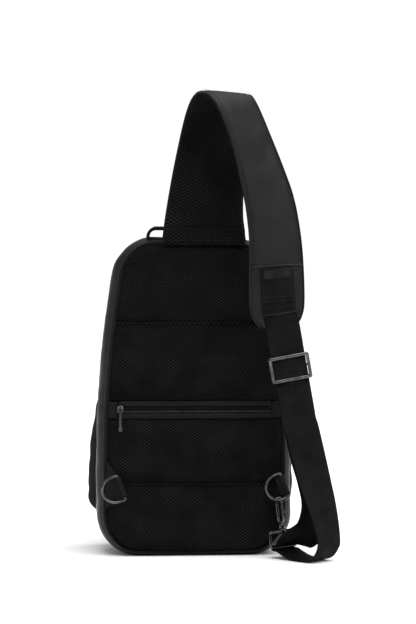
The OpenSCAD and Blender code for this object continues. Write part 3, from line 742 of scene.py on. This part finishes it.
zip_tape("main_tape_rear", ZIP_PATH, 3.4, 7.8, 0.2, 0.35, "zip_tape", "bag", ("main_zip_tape_rear",))
zip_tape("main_tape_front", ZIP_PATH, 8.2, 12.6, 0.35, 0.2, "zip_tape", "front_shell",
         ("main_zip_tape_front",))
for key, y, body in (("rear", 7.1, "bag"), ("front", 8.9, "front_shell")):
    row_of(f"main_teeth_{key}", outer_line(ZIP_PATH, 0.3, y), outward(ZIP_PATH), body,
           (0.9, 1.5, 0.9), 1.6)
for key, y, body in (("rear", 3.0, "bag"), ("front", 13.0, "front_shell")):
    stitches(f"main_zip_stitch_{key}", outer_line(ZIP_PATH, 0.5, y), outward(ZIP_PATH), body,
             2.2, 1.2, 0.26)
tube("front_piping", inner_line(ZIP_PATH, 3.6, 35.0), 1.3, "trim_nylon", "front_shell", n=10)

# -------------------- front pocket

# depths of the pocket's root and of its zip
PY, PZY = 36.6, 56.6


def pocket_w(z):
    return 113 - 14 * (max(0, z - 70) / 110) ** 2


def pocket_lean(z):
    return atan(28 * max(0, z - 70) / 110 ** 2)


P_LEAN = pocket_lean(170)
P_TOP = 200 - 30 * (1 - sin(P_LEAN))
P_SIDE = []
for i in range(1, 40):
    z = 60 + (P_TOP - 60) * i / 40
    a = pocket_lean(z)
    P_SIDE.append((pocket_w(z), z, cos(a), sin(a)))
P_HALF = ([(x, 40.0, *DOWN) for x in range(0, 92, 8)] + arc((93, 60), 20, -90, 0, 12) + P_SIDE
          + arc((pocket_w(P_TOP) - 30 * cos(P_LEAN), 170), 30, degrees(P_LEAN), 90, 14)
          + [(x, 200.0, *UP) for x in range(66, 0, -8)])
POCKET = P_HALF + flip(P_HALF)[:-1]


def pocket_wave(p, y):
    s = p[1] + p[0] * 0.6
    fold = sin(s / 3.6 + 2 * rough((p[0], y, p[1]), 26, 2)) * 0.55
    inner = sin(pi * min(max((y - PY) / 18.0, 0), 1))
    return fold * (1 - 0.5 * inner) + inner * (1.6 + 1.3 * rough((p[0], y, p[1]), 22, 7))


wall("pocket_gusset", POCKET, spread(PY, PZY - 3, 9), lambda y: 12 * max(0, 1 - (y - PY) / 10) ** 2,
     "pocket_cloth", "front_shell", ("front_pocket_gusset",), pocket_wave, closed=True)
zip_tape("pocket_tape", POCKET, PZY - 3.2, PZY - 0.3, 0.0, 0.2, "zip_tape", "front_shell",
         ("front_zip_tape",), True)
row_of("pocket_teeth", outer_line(POCKET, 0.2, PZY - 0.9), outward(POCKET), "front_shell",
       (1.0, 1.2, 0.8), 1.8)

lid_steps = ((0, 0.0), (1.2, 0.0), (3, 0.3), (5, 1.6), (6.8, 4.0), (7.8, 7.5))
loops = [inner_line(POCKET, d, PZY + y) for y, d in lid_steps]
rim = loops[-1]
for k in range(1, 15):
    f = k / 14
    loops.append([(x * (1 - f), y + 1.6 * sin(f * pi / 2)
                   + 0.7 * rough((x * (1 - f), 0, z * (1 - f) + 120 * f), 34, 3) * min(1, f * 4),
                   z * (1 - f) + 120 * f) for x, y, z in rim])
rows = [list(col) for col in zip(*loops)]
uvs = [(p[0], p[2] + p[1]) for row in rows for p in row]
grid("pocket_lid", rows, "pocket_cloth", "pocket_lid", uvs, thick=1.4, closed=True,
     nodes=("front_pocket_panel",))
tube("pocket_piping", inner_line(POCKET, 2.6, PZY + 6.2), 1.1, "trim_nylon", "pocket_lid",
     closed=True, n=10)
stitches("pocket_stitch", inner_line(POCKET, 9, PZY + 8.0), (0, 1, 0), "pocket_lid")

# inner sleeve, seen when the front half is folded down
rows = []
for j in range(25):
    z = 14 + 216 * j / 24
    rows.append([(-76 + 152 * i / 24, -24.0 + 0.8 * rough((i * 6.0, 3, z), 30, 2)
                  * sin(pi * i / 24), z) for i in range(25)])
grid("inner_sleeve", rows, "lining", "bag", thick=1.0, flip=True, nodes=("inner_sleeve",))
sweep("sleeve_binding", rows[-1], (0, 1, 0), round_rect(2.6, 8.0), "trim_nylon", "bag")

# -------------------- shoulder strap


def smooth(st, n):
    """Stations filled in with n steps each, along a smooth curve through them."""
    out = []
    for i in range(len(st) - 1):
        a, b, c, d = st[max(i - 1, 0)], st[i], st[i + 1], st[min(i + 2, len(st) - 1)]
        for k in range(n):
            f = k / n
            out.append([0.5 * (2 * q + (r - p) * f + (2 * p - 5 * q + 4 * r - s) * f * f
                               + (3 * q - p - 3 * r + s) * f ** 3) for p, q, r, s in zip(a, b, c, d)])
    return out + [list(st[-1])]


def across(s):
    """Across direction of a station: its turn about the vertical, then its tilt if it has one."""
    turn, tilt = radians(s[3]), radians(s[5] if len(s) > 5 else 0)
    return Vector((cos(turn) * cos(tilt), sin(turn) * cos(tilt), sin(tilt)))


def lanes(st):
    """Centres, across directions, outward directions and widths along stations."""
    pts = [Vector(s[:3]) for s in st]
    out = []
    for p, t, s in zip(pts, frames(pts), st):
        w = across(s)
        w = (w - t * w.dot(t)).normalized()
        out.append((p, w, t.cross(w), s[4]))
    return out


# strap stations are [x, y, z, turn, width]
STRAP = smooth([
    [10, -37.5, 337.3, 0, 90], [10, -38, 356, 0, 86], [10.5, -40, 372, 0, 82], [13.5, -45.5, 408, 2, 76],
    [17, -54, 445, 6, 69], [20, -63, 472, 12, 64], [23, -72, 487, 18, 61], [27.5, -82, 494, 24, 59],
    [34, -93, 491, 32, 58], [42, -100, 477, 38, 57], [54, -103, 446, 38, 57], [66, -104, 408, 30, 57],
    [74.5, -103, 377, 23, 57], [80, -100.5, 340, 16, 57], [82, -97, 304, 9, 57.5],
    [83, -93.3, 272, 4, 56.5], [83.8, -91.8, 258, 2, 49], [84.3, -90.4, 250, 0, 36]], 7)
LANES = lanes(STRAP)


def lengths(st):
    run, out = 0.0, []
    for i, s in enumerate(st):
        run += (Vector(s[:3]) - Vector(st[i - 1][:3])).length if i else 0
        out.append(run)
    return out


RUN = lengths(STRAP)


def strap_sheet(name, profile, material, nodes=(), wave=0.0, flip=False):
    """A sheet along the strap: profile gives (share of the half width, inset, height) across it."""
    rows, uvs = [], []
    girth = [0.0]
    for (a, _, b), (c, _, d) in zip(profile, profile[1:]):
        girth.append(girth[-1] + hypot((c - a) * 30, d - b))
    for k, (p, w, v, wide) in enumerate(LANES):
        row = []
        settle = 1 - 0.45 * max(0.0, (k - len(LANES) + 9) / 8)
        for i, (s, edge, h) in enumerate(profile):
            mid = 1 - abs(s) ** 4
            x = (wide / 2 - edge) * s
            ripple = sin(RUN[k] / 6 + 3 * rough((x, RUN[k] * 0.4, 9), 30))
            lift = wave * mid * (rough((x * 0.5, RUN[k], 0), 13, 2) + 0.8 * ripple)
            row.append(p + w * x + v * ((h + lift) * settle if h > 0 else h - lift))
            uvs.append((girth[i] - girth[-1] / 2, RUN[k]))
        rows.append(row)
    return grid(name, rows, material, "bag", uvs, flip=flip, nodes=nodes)


top = [(-1 + 2 * i / 22, 0.0, 1.9 + 2.6 * (1 - abs(-1 + 2 * i / 22) ** 5) ** 0.6) for i in range(23)]
low = []
for i in range(31):
    a = pi * i / 30
    s = -cos(a)
    side = (abs(cos(a)) ** 0.18) * (1 if s > 0 else -1)
    low.append((side if i != 15 else 0.0, 0.0, 1.9 - 6.4 * sin(a) ** 0.5))
strap_sheet("strap_cover", top, "strap_nylon", ("strap_cover",), 0.6)
strap_sheet("strap_lining", low, "spacer_mesh", ("strap_mesh", "strap_foam"), 0.2, True)
for key, side in (("left", -1), ("right", 1)):
    edge = [p + w * side * (wide / 2 + 0.1) + v * 2.0 for p, w, v, wide in LANES]
    tube(f"strap_edge_{key}", edge, 1.15, "strap_nylon", "bag", n=10)
    row = [p + w * side * (wide / 2 - 3.4) + v * 4.25 for p, w, v, wide in LANES]
    stitches(f"strap_stitch_{key}", row, [v for p, w, v, wide in LANES], "bag", 2.4, 1.3, 0.28)
p, w, v, wide = LANES[-1]
line = [p + w * (wide / 2) * s + v * -0.4 for s in (-1, -0.8, -0.4, 0, 0.4, 0.8, 1)]
sweep("strap_end", line, v, round_rect(5.4, 2.4), "strap_nylon", "bag")


def cross_row(z, height, inset_mm=2.0, n=40):
    """Points across the strap's outer face at height z, on its hanging side."""
    k = min(range(60, len(STRAP)), key=lambda i: abs(STRAP[i][2] - z))
    p, w, v, wide = LANES[k]
    reach = wide / 2 - inset_mm
    return [p + w * (reach * (-1 + 2 * i / n)) + v * height for i in range(n + 1)], v


for key, z in (("a", 314.6), ("b", 311.4)):
    line, out = cross_row(z, 4.7)
    stitches(f"strap_cross_stitch_{key}", line, out, "bag", 2.2, 1.0, 0.34)
line, out = cross_row(312.6, 4.4, inset_mm=1.2)
tube("strap_seam_roll", line, 1.3, "strap_nylon", "bag", n=10)
# sewn band at the strap's root, over the top edge of the back panel
for key, z in (("a", 342.0), ("b", 355.0)):
    line = [Vector((10 - 42 + 84 * i / 20, -42.9 - (z - 340) * 0.03, z)) for i in range(21)]
    stitches(f"root_stitch_{key}", line, REAR, "bag", 2.4, 1.2, 0.34)
rows = [[(10 - 44 + 88 * i / 30,
          -42.3 - 1.0 * sin(pi * j / 6) - 0.2 * rough((i * 3, 0, j * 2), 8),
          342 + 13 * j / 6) for i in range(31)] for j in range(7)]
grid("root_band", rows, "spacer_mesh", "bag", [(p[0], p[2]) for r in rows for p in r], thick=0.8)

# -------------------- webbing

WEB_W, WEB_T = 36.0, 1.4
ADJ_C = Vector((97.5, -91.4, 206))


def turned(x, y, z=0.0):
    return (Matrix.Rotation(radians(z), 4, "Z") @ Matrix.Rotation(radians(y), 4, "Y")
            @ Matrix.Rotation(radians(x), 4, "X"))


ADJ = Matrix.Translation(ADJ_C) @ turned(3.9, -10.5)
ADJ_UP = (ADJ @ Vector((0, 0, 1))) - ADJ_C
ADJ_BACK = (ADJ @ Vector((0, 1, 0))) - ADJ_C


def web(x, y, z, turn, tilt=0):
    """A webbing station: place, turn, width, tilt."""
    return [x, y, z, turn, WEB_W, tilt]


def on_run(s, back=0.0):
    """A station on the straight run through the adjuster, s mm up from its middle."""
    return web(*(ADJ_C + ADJ_UP * s + ADJ_BACK * back), 0)


HOOK_TILT, HOOK_TURN, HOOK_SWING = (-6.7034, -6.0), 42, 55
HOOK_POS = Vector((93.5, -50.1, 30.2))
HOOK_UP = turned(*HOOK_TILT) @ Vector((0, 0, 1))
LOW_BAR = HOOK_POS + HOOK_UP * -19
AWAY = Vector((sin(radians(HOOK_TURN)), -cos(radians(HOOK_TURN)), 0))
front = [web(81.5, -104.6, 316, 12), web(83, -102.6, 300, 9), web(84.6, -99.2, 276, 5),
         web(86, -97.6, 262, 2), on_run(48), on_run(41), on_run(0), on_run(-44), on_run(-58),
         web(111, -86.5, 140, 1), web(117.5, -86, 114, 5), web(124.5, -87, 86, 14),
         web(132.5, -89.5, 57, 28), web(137.5, -94, 31, 39), web(137, -97, 16, HOOK_TURN),
         web(131, -91, 4.5, HOOK_TURN), web(121, -79.5, 0.7, HOOK_TURN), web(110, -67, 2, HOOK_TURN),
         web(*(LOW_BAR + AWAY * 5 + Vector((0, 0, -3))), HOOK_TURN)]
wrap = []
for a in range(-90, 91, 15):
    a = radians(a)
    round_bar = LOW_BAR - AWAY * 2.5 * cos(a) + Vector((0, 0, 2.5 * sin(a)))
    wrap.append(web(*round_bar, HOOK_TURN))
back = [web(*(LOW_BAR + AWAY * 3 + Vector((0, 0, 2.7))), HOOK_TURN),
        web(103, -61, 18, 40, -22), web(109, -67, 22, 37, -38), web(116, -72, 26, 33, -45),
        web(123, -76, 37, 28, -35), web(127, -79, 60, 22, -12), web(123.5, -78.5, 86, 12),
        web(116.5, -78.8, 112, 4), web(110.5, -79.5, 140, 0), *(on_run(s, 7.4) for s in (-50, -30, -8))]
front_line = smooth(front, 6)
# the top end is hidden under the label, so it starts just below it
run = [q for q in front_line if q[2] < 312 or q[0] > 90] + wrap + smooth(back, 6)
sweep("webbing", [s[:3] for s in run], [across(s) for s in run],
      round_rect(WEB_W, WEB_T, 6), "webbing", "bag", nodes=("webbing",))
front_lanes = lanes(front_line)


def web_row(z, lift, half, zig=0.0, n=36):
    """Points across the webbing's outer face at height z, in a zigzag of that height."""
    k = min(range(60), key=lambda i: abs(front_lanes[i][0].z - z))
    p, w, v, wide = front_lanes[k]
    t = w.cross(v).normalized()
    off = z - p.z
    ups = [off + zig * (1 if i % 2 else -1) for i in range(n + 1)]
    return [p + w * (half * (-1 + 2 * i / n)) + v * lift + t * up for i, up in enumerate(ups)], v


for k, z in enumerate((281.4, 278.6, 276.0, 269.6, 267.0)):
    line, out = web_row(z, 0.85, 16.6, 0.9)
    tube(f"bartack_{k}", line, 0.42, "thread", "bag", n=6)
line, out = web_row(264.4, 1.0, 17.2)
tube("bartack_end", line, 0.6, "thread", "bag", n=8)
column = [p + w * -15.2 + v * 0.85 for p, w, v, wide in front_lanes[18:28]]
stitches("web_column", column, front_lanes[16][2], "bag", 2.2, 1.1, 0.32)

label = []
for f in [0.36 + 0.62 * i / 8 for i in range(9)]:
    a, b = Vector(front[0][:3]), Vector(front[1][:3])
    turn = radians(12 - 3 * f)
    label.append((a.lerp(b, f) + Vector((-0.3, -0.9, 0)), Vector((cos(turn), sin(turn), 0))))
sweep("strap_label", [q[0] for q in label], [q[1] for q in label], round_rect(30, 0.9),
      "label", "bag", nodes=("strap_label",))
corners = ((0, 1), (-1, 1), (-1, -1), (0, -1), (0, 1))
edge = [label[k][0] + label[k][1] * (13.6 * side) for k, side in corners]
stitches("label_stitch", [p + Vector((0.1, -0.55, 0)) for p in edge], (0.1, -1, 0), "bag",
         1.8, 1.0, 0.22)

# -------------------- adjuster


def rounded(matrix, x, z0, z1, r, y, n):
    """A rectangle with rounded corners, x either side of the middle, from z0 up to z1."""
    out = []
    for side, cz, a0 in ((1, z1 - r, 0), (-1, z1 - r, 90), (-1, z0 + r, 180), (1, z0 + r, 270)):
        for k in range(n + 1):
            a = radians(a0 + 90 * k / n)
            out.append(matrix @ Vector((side * (x - r) + r * cos(a), y, cz + r * sin(a))))
    return out


# depths of the frame's face and of the bar behind the webbing, from the webbing's middle
AF = -WEB_T / 2 - 0.5 - 2.2
END_Y = WEB_T / 2 + 0.5 + 2.5
ADJ_ACROSS = ADJ @ Vector((1, 0, 0)) - ADJ_C
prof = [(0, 2.2), (0, 0.9), (0.35, 0.35), (1.1, 0), (2.7, 0), (3.3, 0.35), (3.6, 0.9), (3.6, 2.2),
        (0, 2.2)]
loops = [rounded(ADJ, 21.8 - d, d - 14, 14 - d, max(2.4 - d * 0.4, 0.7), AF + y, 5) for d, y in prof]
grid("adjuster_frame", [list(c) for c in zip(*loops)], "hardware", "adjuster", closed=True,
     nodes=("adjuster_frame",))
over = []
for z in spread(-10.2, 10.2, 34):
    ridge = sum(high * exp(-((z - mid) / wide) ** 2)
                for high, mid, wide in ((1.1, 1.5, 2.6), (0.7, -3.4, 1.5), (0.5, 6.6, 1.2)))
    over.append(ADJ @ Vector((0, -WEB_T / 2 - 0.7 - ridge, z)))
sweep("adjuster_webbing_ridge", over, ADJ_ACROSS, round_rect(35.4, 1.0), "webbing", "adjuster")
for key, side in (("left", -1), ("right", 1)):
    line = [ADJ @ Vector((side * 20.2, y, 0)) for y in spread(AF + 1.0, END_Y + 1.6, 6)]
    sweep(f"adjuster_lug_{key}", line, ADJ_UP, round_rect(5.2, 2.4), "hardware", "adjuster")
tube("adjuster_bar", [ADJ @ Vector((x, END_Y, 0)) for x in spread(-21.6, 21.6, 10)], 1.2,
     "hardware", "adjuster", nodes=("adjuster_bar",))
loop = [(0, END_Y + 1.85, z) for z in spread(-21.5, -2, 8)]
loop += [(0, END_Y + 1.85 * cos(a), 1.85 * sin(a)) for a in spread(0, pi, 10)]
loop += [(0, END_Y - 1.85 + 1.2 * min(1, -z / 8), z) for z in spread(-1, -21.5, 8)]
sweep("webbing_end_loop", [ADJ @ Vector(p) for p in loop], ADJ_ACROSS, round_rect(WEB_W, 1.1),
      "webbing", "adjuster", nodes=("webbing_end_loop",))

# -------------------- snap hook


def at_hook(turn):
    return Matrix.Translation(HOOK_POS) @ turned(*HOOK_TILT) @ turned(0, 0, turn)


def face_of(matrix):
    return tuple(matrix.to_3x3() @ Vector((0, 1, 0)))


B = at_hook(HOOK_TURN)
tube("hook_ring", rounded(B, 20.5, -19, -2, 3.0, 0, 6), 1.5, "hardware", "bag", closed=True,
     nodes=("hook_base_ring",), up=face_of(B))
lathe("hook_collar", [(1.8, -4.2), (3.4, -4.2), (4, -3.6), (4, -0.6), (3.5, 0), (1.8, 0)], B,
      "hardware", "bag")
K = at_hook(HOOK_SWING)
br = 5.4  # half the distance between the hook's two sides
pts = [(br, 0, 13.4)]
pts += [(br * cos(a), 0, 11.5 - br * sin(a)) for a in spread(0, pi, 16)]
pts += [(-br, 0, z) for z in spread(14, 27, 5)]
pts += [(-br * cos(a), 0, 29.3 + br * sin(a)) for a in spread(0, pi, 16)]
pts += [(br, 0, 27.4)]
tube("hook_body", [K @ Vector(p) for p in pts], 1.4, "hardware", "hook", nodes=("hook_body",),
     up=face_of(K))
lathe("hook_swivel", [(0.1, -6.2), (2.8, -6.2), (2.8, -4.5), (1.7, -4.4), (1.7, 0.2), (3.2, 0.3),
                      (3.7, 0.9), (3.7, 4.4), (3.0, 5.4), (1.8, 6.4), (0.1, 6.8)], K, "hardware", "hook")
tube("hook_gate", [K @ Vector((br, 0, z)) for z in spread(12.9, 27.0, 8)], 1.15, "hardware", "gate",
     nodes=("hook_gate",))
tube("hook_knob_stem", [K @ Vector((br + x, 0, 18.4)) for x in spread(0, 3.2, 4)], 0.95,
     "dark_metal", "gate")
KNOB = K @ Matrix.Translation(Vector((br + 2.4, 0, 18.4))) @ turned(0, 90)
lathe("hook_knob", [(0.1, 0), (1.5, 0.1), (1.7, 0.5), (1.7, 1.3), (1.2, 1.7), (0.1, 1.8)], KNOB,
      "dark_metal", "gate", 20)

# -------------------- D-rings on their tabs

for key, pos, reach in (("left", (-80, -46.5, 75.8), 12.0), ("right", (96.8, -46.5, 77.3), 5.0)):
    R = Matrix.Translation(Vector(pos)) @ turned(0, -20.4)
    r = 13.75
    pts = [(0, 0, z) for z in spread(-r + 2, r - 2, 6)]
    pts += [(-2 + 2 * cos(a), 0, r - 2 + 2 * sin(a)) for a in spread(0.3, pi / 2, 4)]
    pts += [(-7 - r * sin(a), 0, r * cos(a)) for a in spread(0, pi, 30)]
    pts += [(-2 + 2 * sin(a), 0, -r + 2 - 2 * cos(a)) for a in spread(0, pi / 2 - 0.3, 4)]
    tube(f"{key}_d_ring", [R @ Vector(p) for p in pts], 1.6, "hardware", f"{key}_ring", closed=True,
         nodes=(f"{key}_d_ring",), up=face_of(R))
    line = [(-reach - 2.5, 2.6), (-reach * 0.6, 2.5), (-reach * 0.25, 2.5), (0, 2.45)]
    line += [(2.45 * sin(a), 2.45 * cos(a)) for a in spread(0.35, pi * 1.15, 12)]
    rows = []
    for x, y in line:
        f = min(1.0, max(0.0, -x / reach))
        near = [R @ Vector((x if f == 0 else 0, y, 11.3 * (-1 + k / 8))) for k in range(17)]
        if key == "left":
            far = [Vector((-96.6 + 1.2 * (z - 78) / 26, -38.0 - 2.2 * (1 - abs(z - 78) / 27), z))
                   for z in spread(52, 103, 16)]
        else:
            far = [R @ Vector((-reach - 2.5, 2.6, 10 * (-1 + k / 8))) for k in range(17)]
        bow = Vector((0, -0.5 * sin(pi * f), 0))
        rows.append([a.lerp(b, f) + bow for a, b in zip(near, far)])
    grid(f"{key}_ring_tab", rows, "trim_nylon", "bag", thick=0.9, nodes=(f"{key}_d_ring_tab",),
         offset=0)
    for k, x in enumerate((-2.6, -4.4)):
        line = [R @ Vector((x, 1.9, z)) for z in spread(-11.5, 11.5, 6)]
        stitches(f"{key}_tab_stitch_{k}", line, R.to_3x3() @ Vector(REAR), "bag", 1.8, 0.9, 0.26)

# -------------------- haul handle

pts = [(-50.5, 343.5), (-50.5, 346.5)]
pts += [(-41.5 - 9 * cos(a), 347.5 + 9 * sin(a)) for a in spread(0, pi / 2, 8)]
pts += [(x, 356.3 + 0.5 * cos(x / 26)) for x in spread(-36, 36, 12)]
pts += [(41.5 + 9 * sin(a), 347.5 + 9 * cos(a)) for a in spread(0, pi / 2, 8)]
pts += [(50.5, 346.5), (50.5, 343.5)]
sweep("haul_handle", [(x, -20, z) for x, z in pts], (0, 1, 0), round_rect(20, 3.4),
      "webbing", "bag", nodes=("haul_handle",))
for key, y in (("a", -27.5), ("b", -12.5)):
    stitches(f"handle_stitch_{key}", [(x, y, z + 1.75) for x, z in pts[9:-9]], (0, 0, 1), "bag",
             2.2, 1.2, 0.28)

# -------------------- zip sliders and pulls


def slider_set(tag, matrix, w, h, out, slider_node, pull_node, length, tip):
    """A slider w by h mm with its ears, pin and corded pull, about the matrix's origin."""
    slider_body, pull_body = f"{tag}_slider", f"{tag}_pull"
    side_on = matrix.to_3x3() @ Vector((1, 0, 0))
    body = [matrix @ Vector((0, -1.2, z)) for z in spread(-h / 2, h / 2, 6)]
    shape = []
    for k in range(7):
        waist = 0.72 + 0.28 * sin(pi * (0.2 + 0.6 * (k / 6)))
        shape.append([(a * waist, b) for a, b in round_rect(w, 2.3, 4)])
    sweep(f"{tag}_slider", body, side_on, shape, "dark_metal", slider_body, nodes=(slider_node,))
    for key, side in (("a", -1), ("b", 1)):
        line = [matrix @ Vector((side * (w / 2 - 1.2), y, 0)) for y in spread(-1.6, -2.3 - out, 4)]
        sweep(f"{tag}_ear_{key}", line, matrix.to_3x3() @ Vector((0, 0, 1)), round_rect(3.0, 1.4),
              "dark_metal", slider_body)
    pivot = 1 - 2.3 - out
    line = [matrix @ Vector((x, pivot, 0)) for x in spread(-w / 2 + 0.6, w / 2 - 0.6, 3)]
    tube(f"{tag}_pin", line, 0.7, "dark_metal", slider_body, n=10)
    line = [matrix @ Vector((1.35 * cos(a), pivot - 0.1, -1.9 + 2.3 * sin(a)))
            for a in spread(0, 2 * pi * 23 / 24, 23)]
    tube(f"{tag}_pull_loop", line, 0.6, "dark_metal", pull_body, closed=True, n=8)
    cord = [matrix @ Vector((0.25 * sin(z / 3), pivot - 1.3, -z))
            for z in spread(1.5, length - 3, 10)]
    sweep(f"{tag}_pull", cord, side_on, round_rect(2.9, 1.5, 5), "pull_cord", pull_body,
          nodes=(pull_node,))
    end = [matrix @ Vector((0, pivot - 1.35, -z)) for z in spread(length - 3.6, length + 0.9, 6)]
    ends = [[(a * k, b * k) for a, b in round_rect(tip, 1.9, 5)] for k in (0.8, 1, 1, 1, 1, 0.95, 0.7)]
    sweep(f"{tag}_pull_tip", end, side_on, ends, "pull_cord", pull_body)


def on_side(x, y, z, tilt):
    return Matrix.Translation(Vector((x, y, z))) @ turned(0, -degrees(tilt)) @ turned(0, 0, 90)


slider_set("back", Matrix.Translation(Vector((-81, -35.9, 159.5))), 8.4, 8, 4.6,
           "back_zip_slider", "back_zip_pull", 23, 4.0)
for tag, z in (("lower", 210), ("upper", 242)):
    slider_set(tag, on_side(half_w(z) + 1.1, ZIP_Y, z, lean_at(z)), 8, 11, 3.4,
               f"main_zip_slider_{tag}", f"main_zip_pull_{tag}", 24, 4.4)
slider_set("pocket", on_side(pocket_w(120) + 1, PZY, 120, pocket_lean(120)), 8, 9, 3.4,
           "front_zip_slider", "front_zip_pull", 24, 4.4)

# -------------------- stage, light and camera

s = Shader("paper")
tone = s.noise(s.place(), 2.5, 2)
s.set(Base_Color=s.ramp(tone, [(0.3, (0.86, 0.86, 0.86)), (0.7, (0.89, 0.89, 0.89))]), Roughness=0.9)
data = bpy.data.meshes.new("floor")
data.from_pydata([(-12, -12, 0), (12, -12, 0), (12, 12, 0), (-12, 12, 0)], [], [(0, 1, 2, 3)])
data.materials.append(s.mat)
placed("floor", data)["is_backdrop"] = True

world = bpy.data.worlds.new("studio")
bpy.context.scene.world = world
world.use_nodes = True
tree = world.node_tree
backdrop = tree.nodes["Background"]
backdrop.inputs[0].default_value = (1, 1, 1, 1)
# the camera sees white; the bag is lit by the ceiling below
seen = tree.nodes.new("ShaderNodeLightPath")
level = tree.nodes.new("ShaderNodeMapRange")
level.inputs[4].default_value = 1.05
tree.links.new(seen.outputs["Is Camera Ray"], level.inputs[0])
# a studio ceiling: brighter overhead than at the horizon
around = tree.nodes.new("ShaderNodeTexCoord")
split = tree.nodes.new("ShaderNodeSeparateXYZ")
ceiling = tree.nodes.new("ShaderNodeMapRange")
tree.links.new(around.outputs["Generated"], split.inputs[0])
tree.links.new(split.outputs["Z"], ceiling.inputs[0])
ceiling.inputs[1].default_value, ceiling.inputs[2].default_value = 0.05, 0.9
ceiling.inputs[3].default_value, ceiling.inputs[4].default_value = 0.08, 0.75
tree.links.new(ceiling.outputs[0], level.inputs[3])
tree.links.new(level.outputs[0], backdrop.inputs[1])
bpy.context.scene.view_settings.view_transform = "Standard"


def lamp(name, place, aim, size, power):
    data = bpy.data.lights.new(name, "AREA")
    data.shape, data.size, data.size_y, data.energy = "RECTANGLE", size[0], size[1], power
    obj = placed(name, data)
    obj.location = place
    obj.rotation_euler = (Vector(aim) - Vector(place)).to_track_quat("-Z", "Y").to_euler()


lamp("key", (1.85, -0.68, 0.85), (0.05, -0.05, 0.3), (0.5, 1.3), 7)
lamp("side_left", (-1.5, -0.5, 0.7), (0, 0, 0.2), (0.3, 1.3), 4)
sun = bpy.data.lights.new("soft_top", "SUN")
sun.energy, sun.angle = 3.8, radians(70)
obj = placed("soft_top", sun)
obj.rotation_euler = (radians(18), radians(14), 0)

camera = bpy.data.cameras.new("camera")
camera.sensor_width, camera.lens = 36, 95.7
cam = placed("camera", camera)
cam.location = (-0.1116, -1.8356, 0.265)
cam.rotation_euler = (radians(90), 0, radians(-4))
bpy.context.scene.camera = cam

low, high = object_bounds()
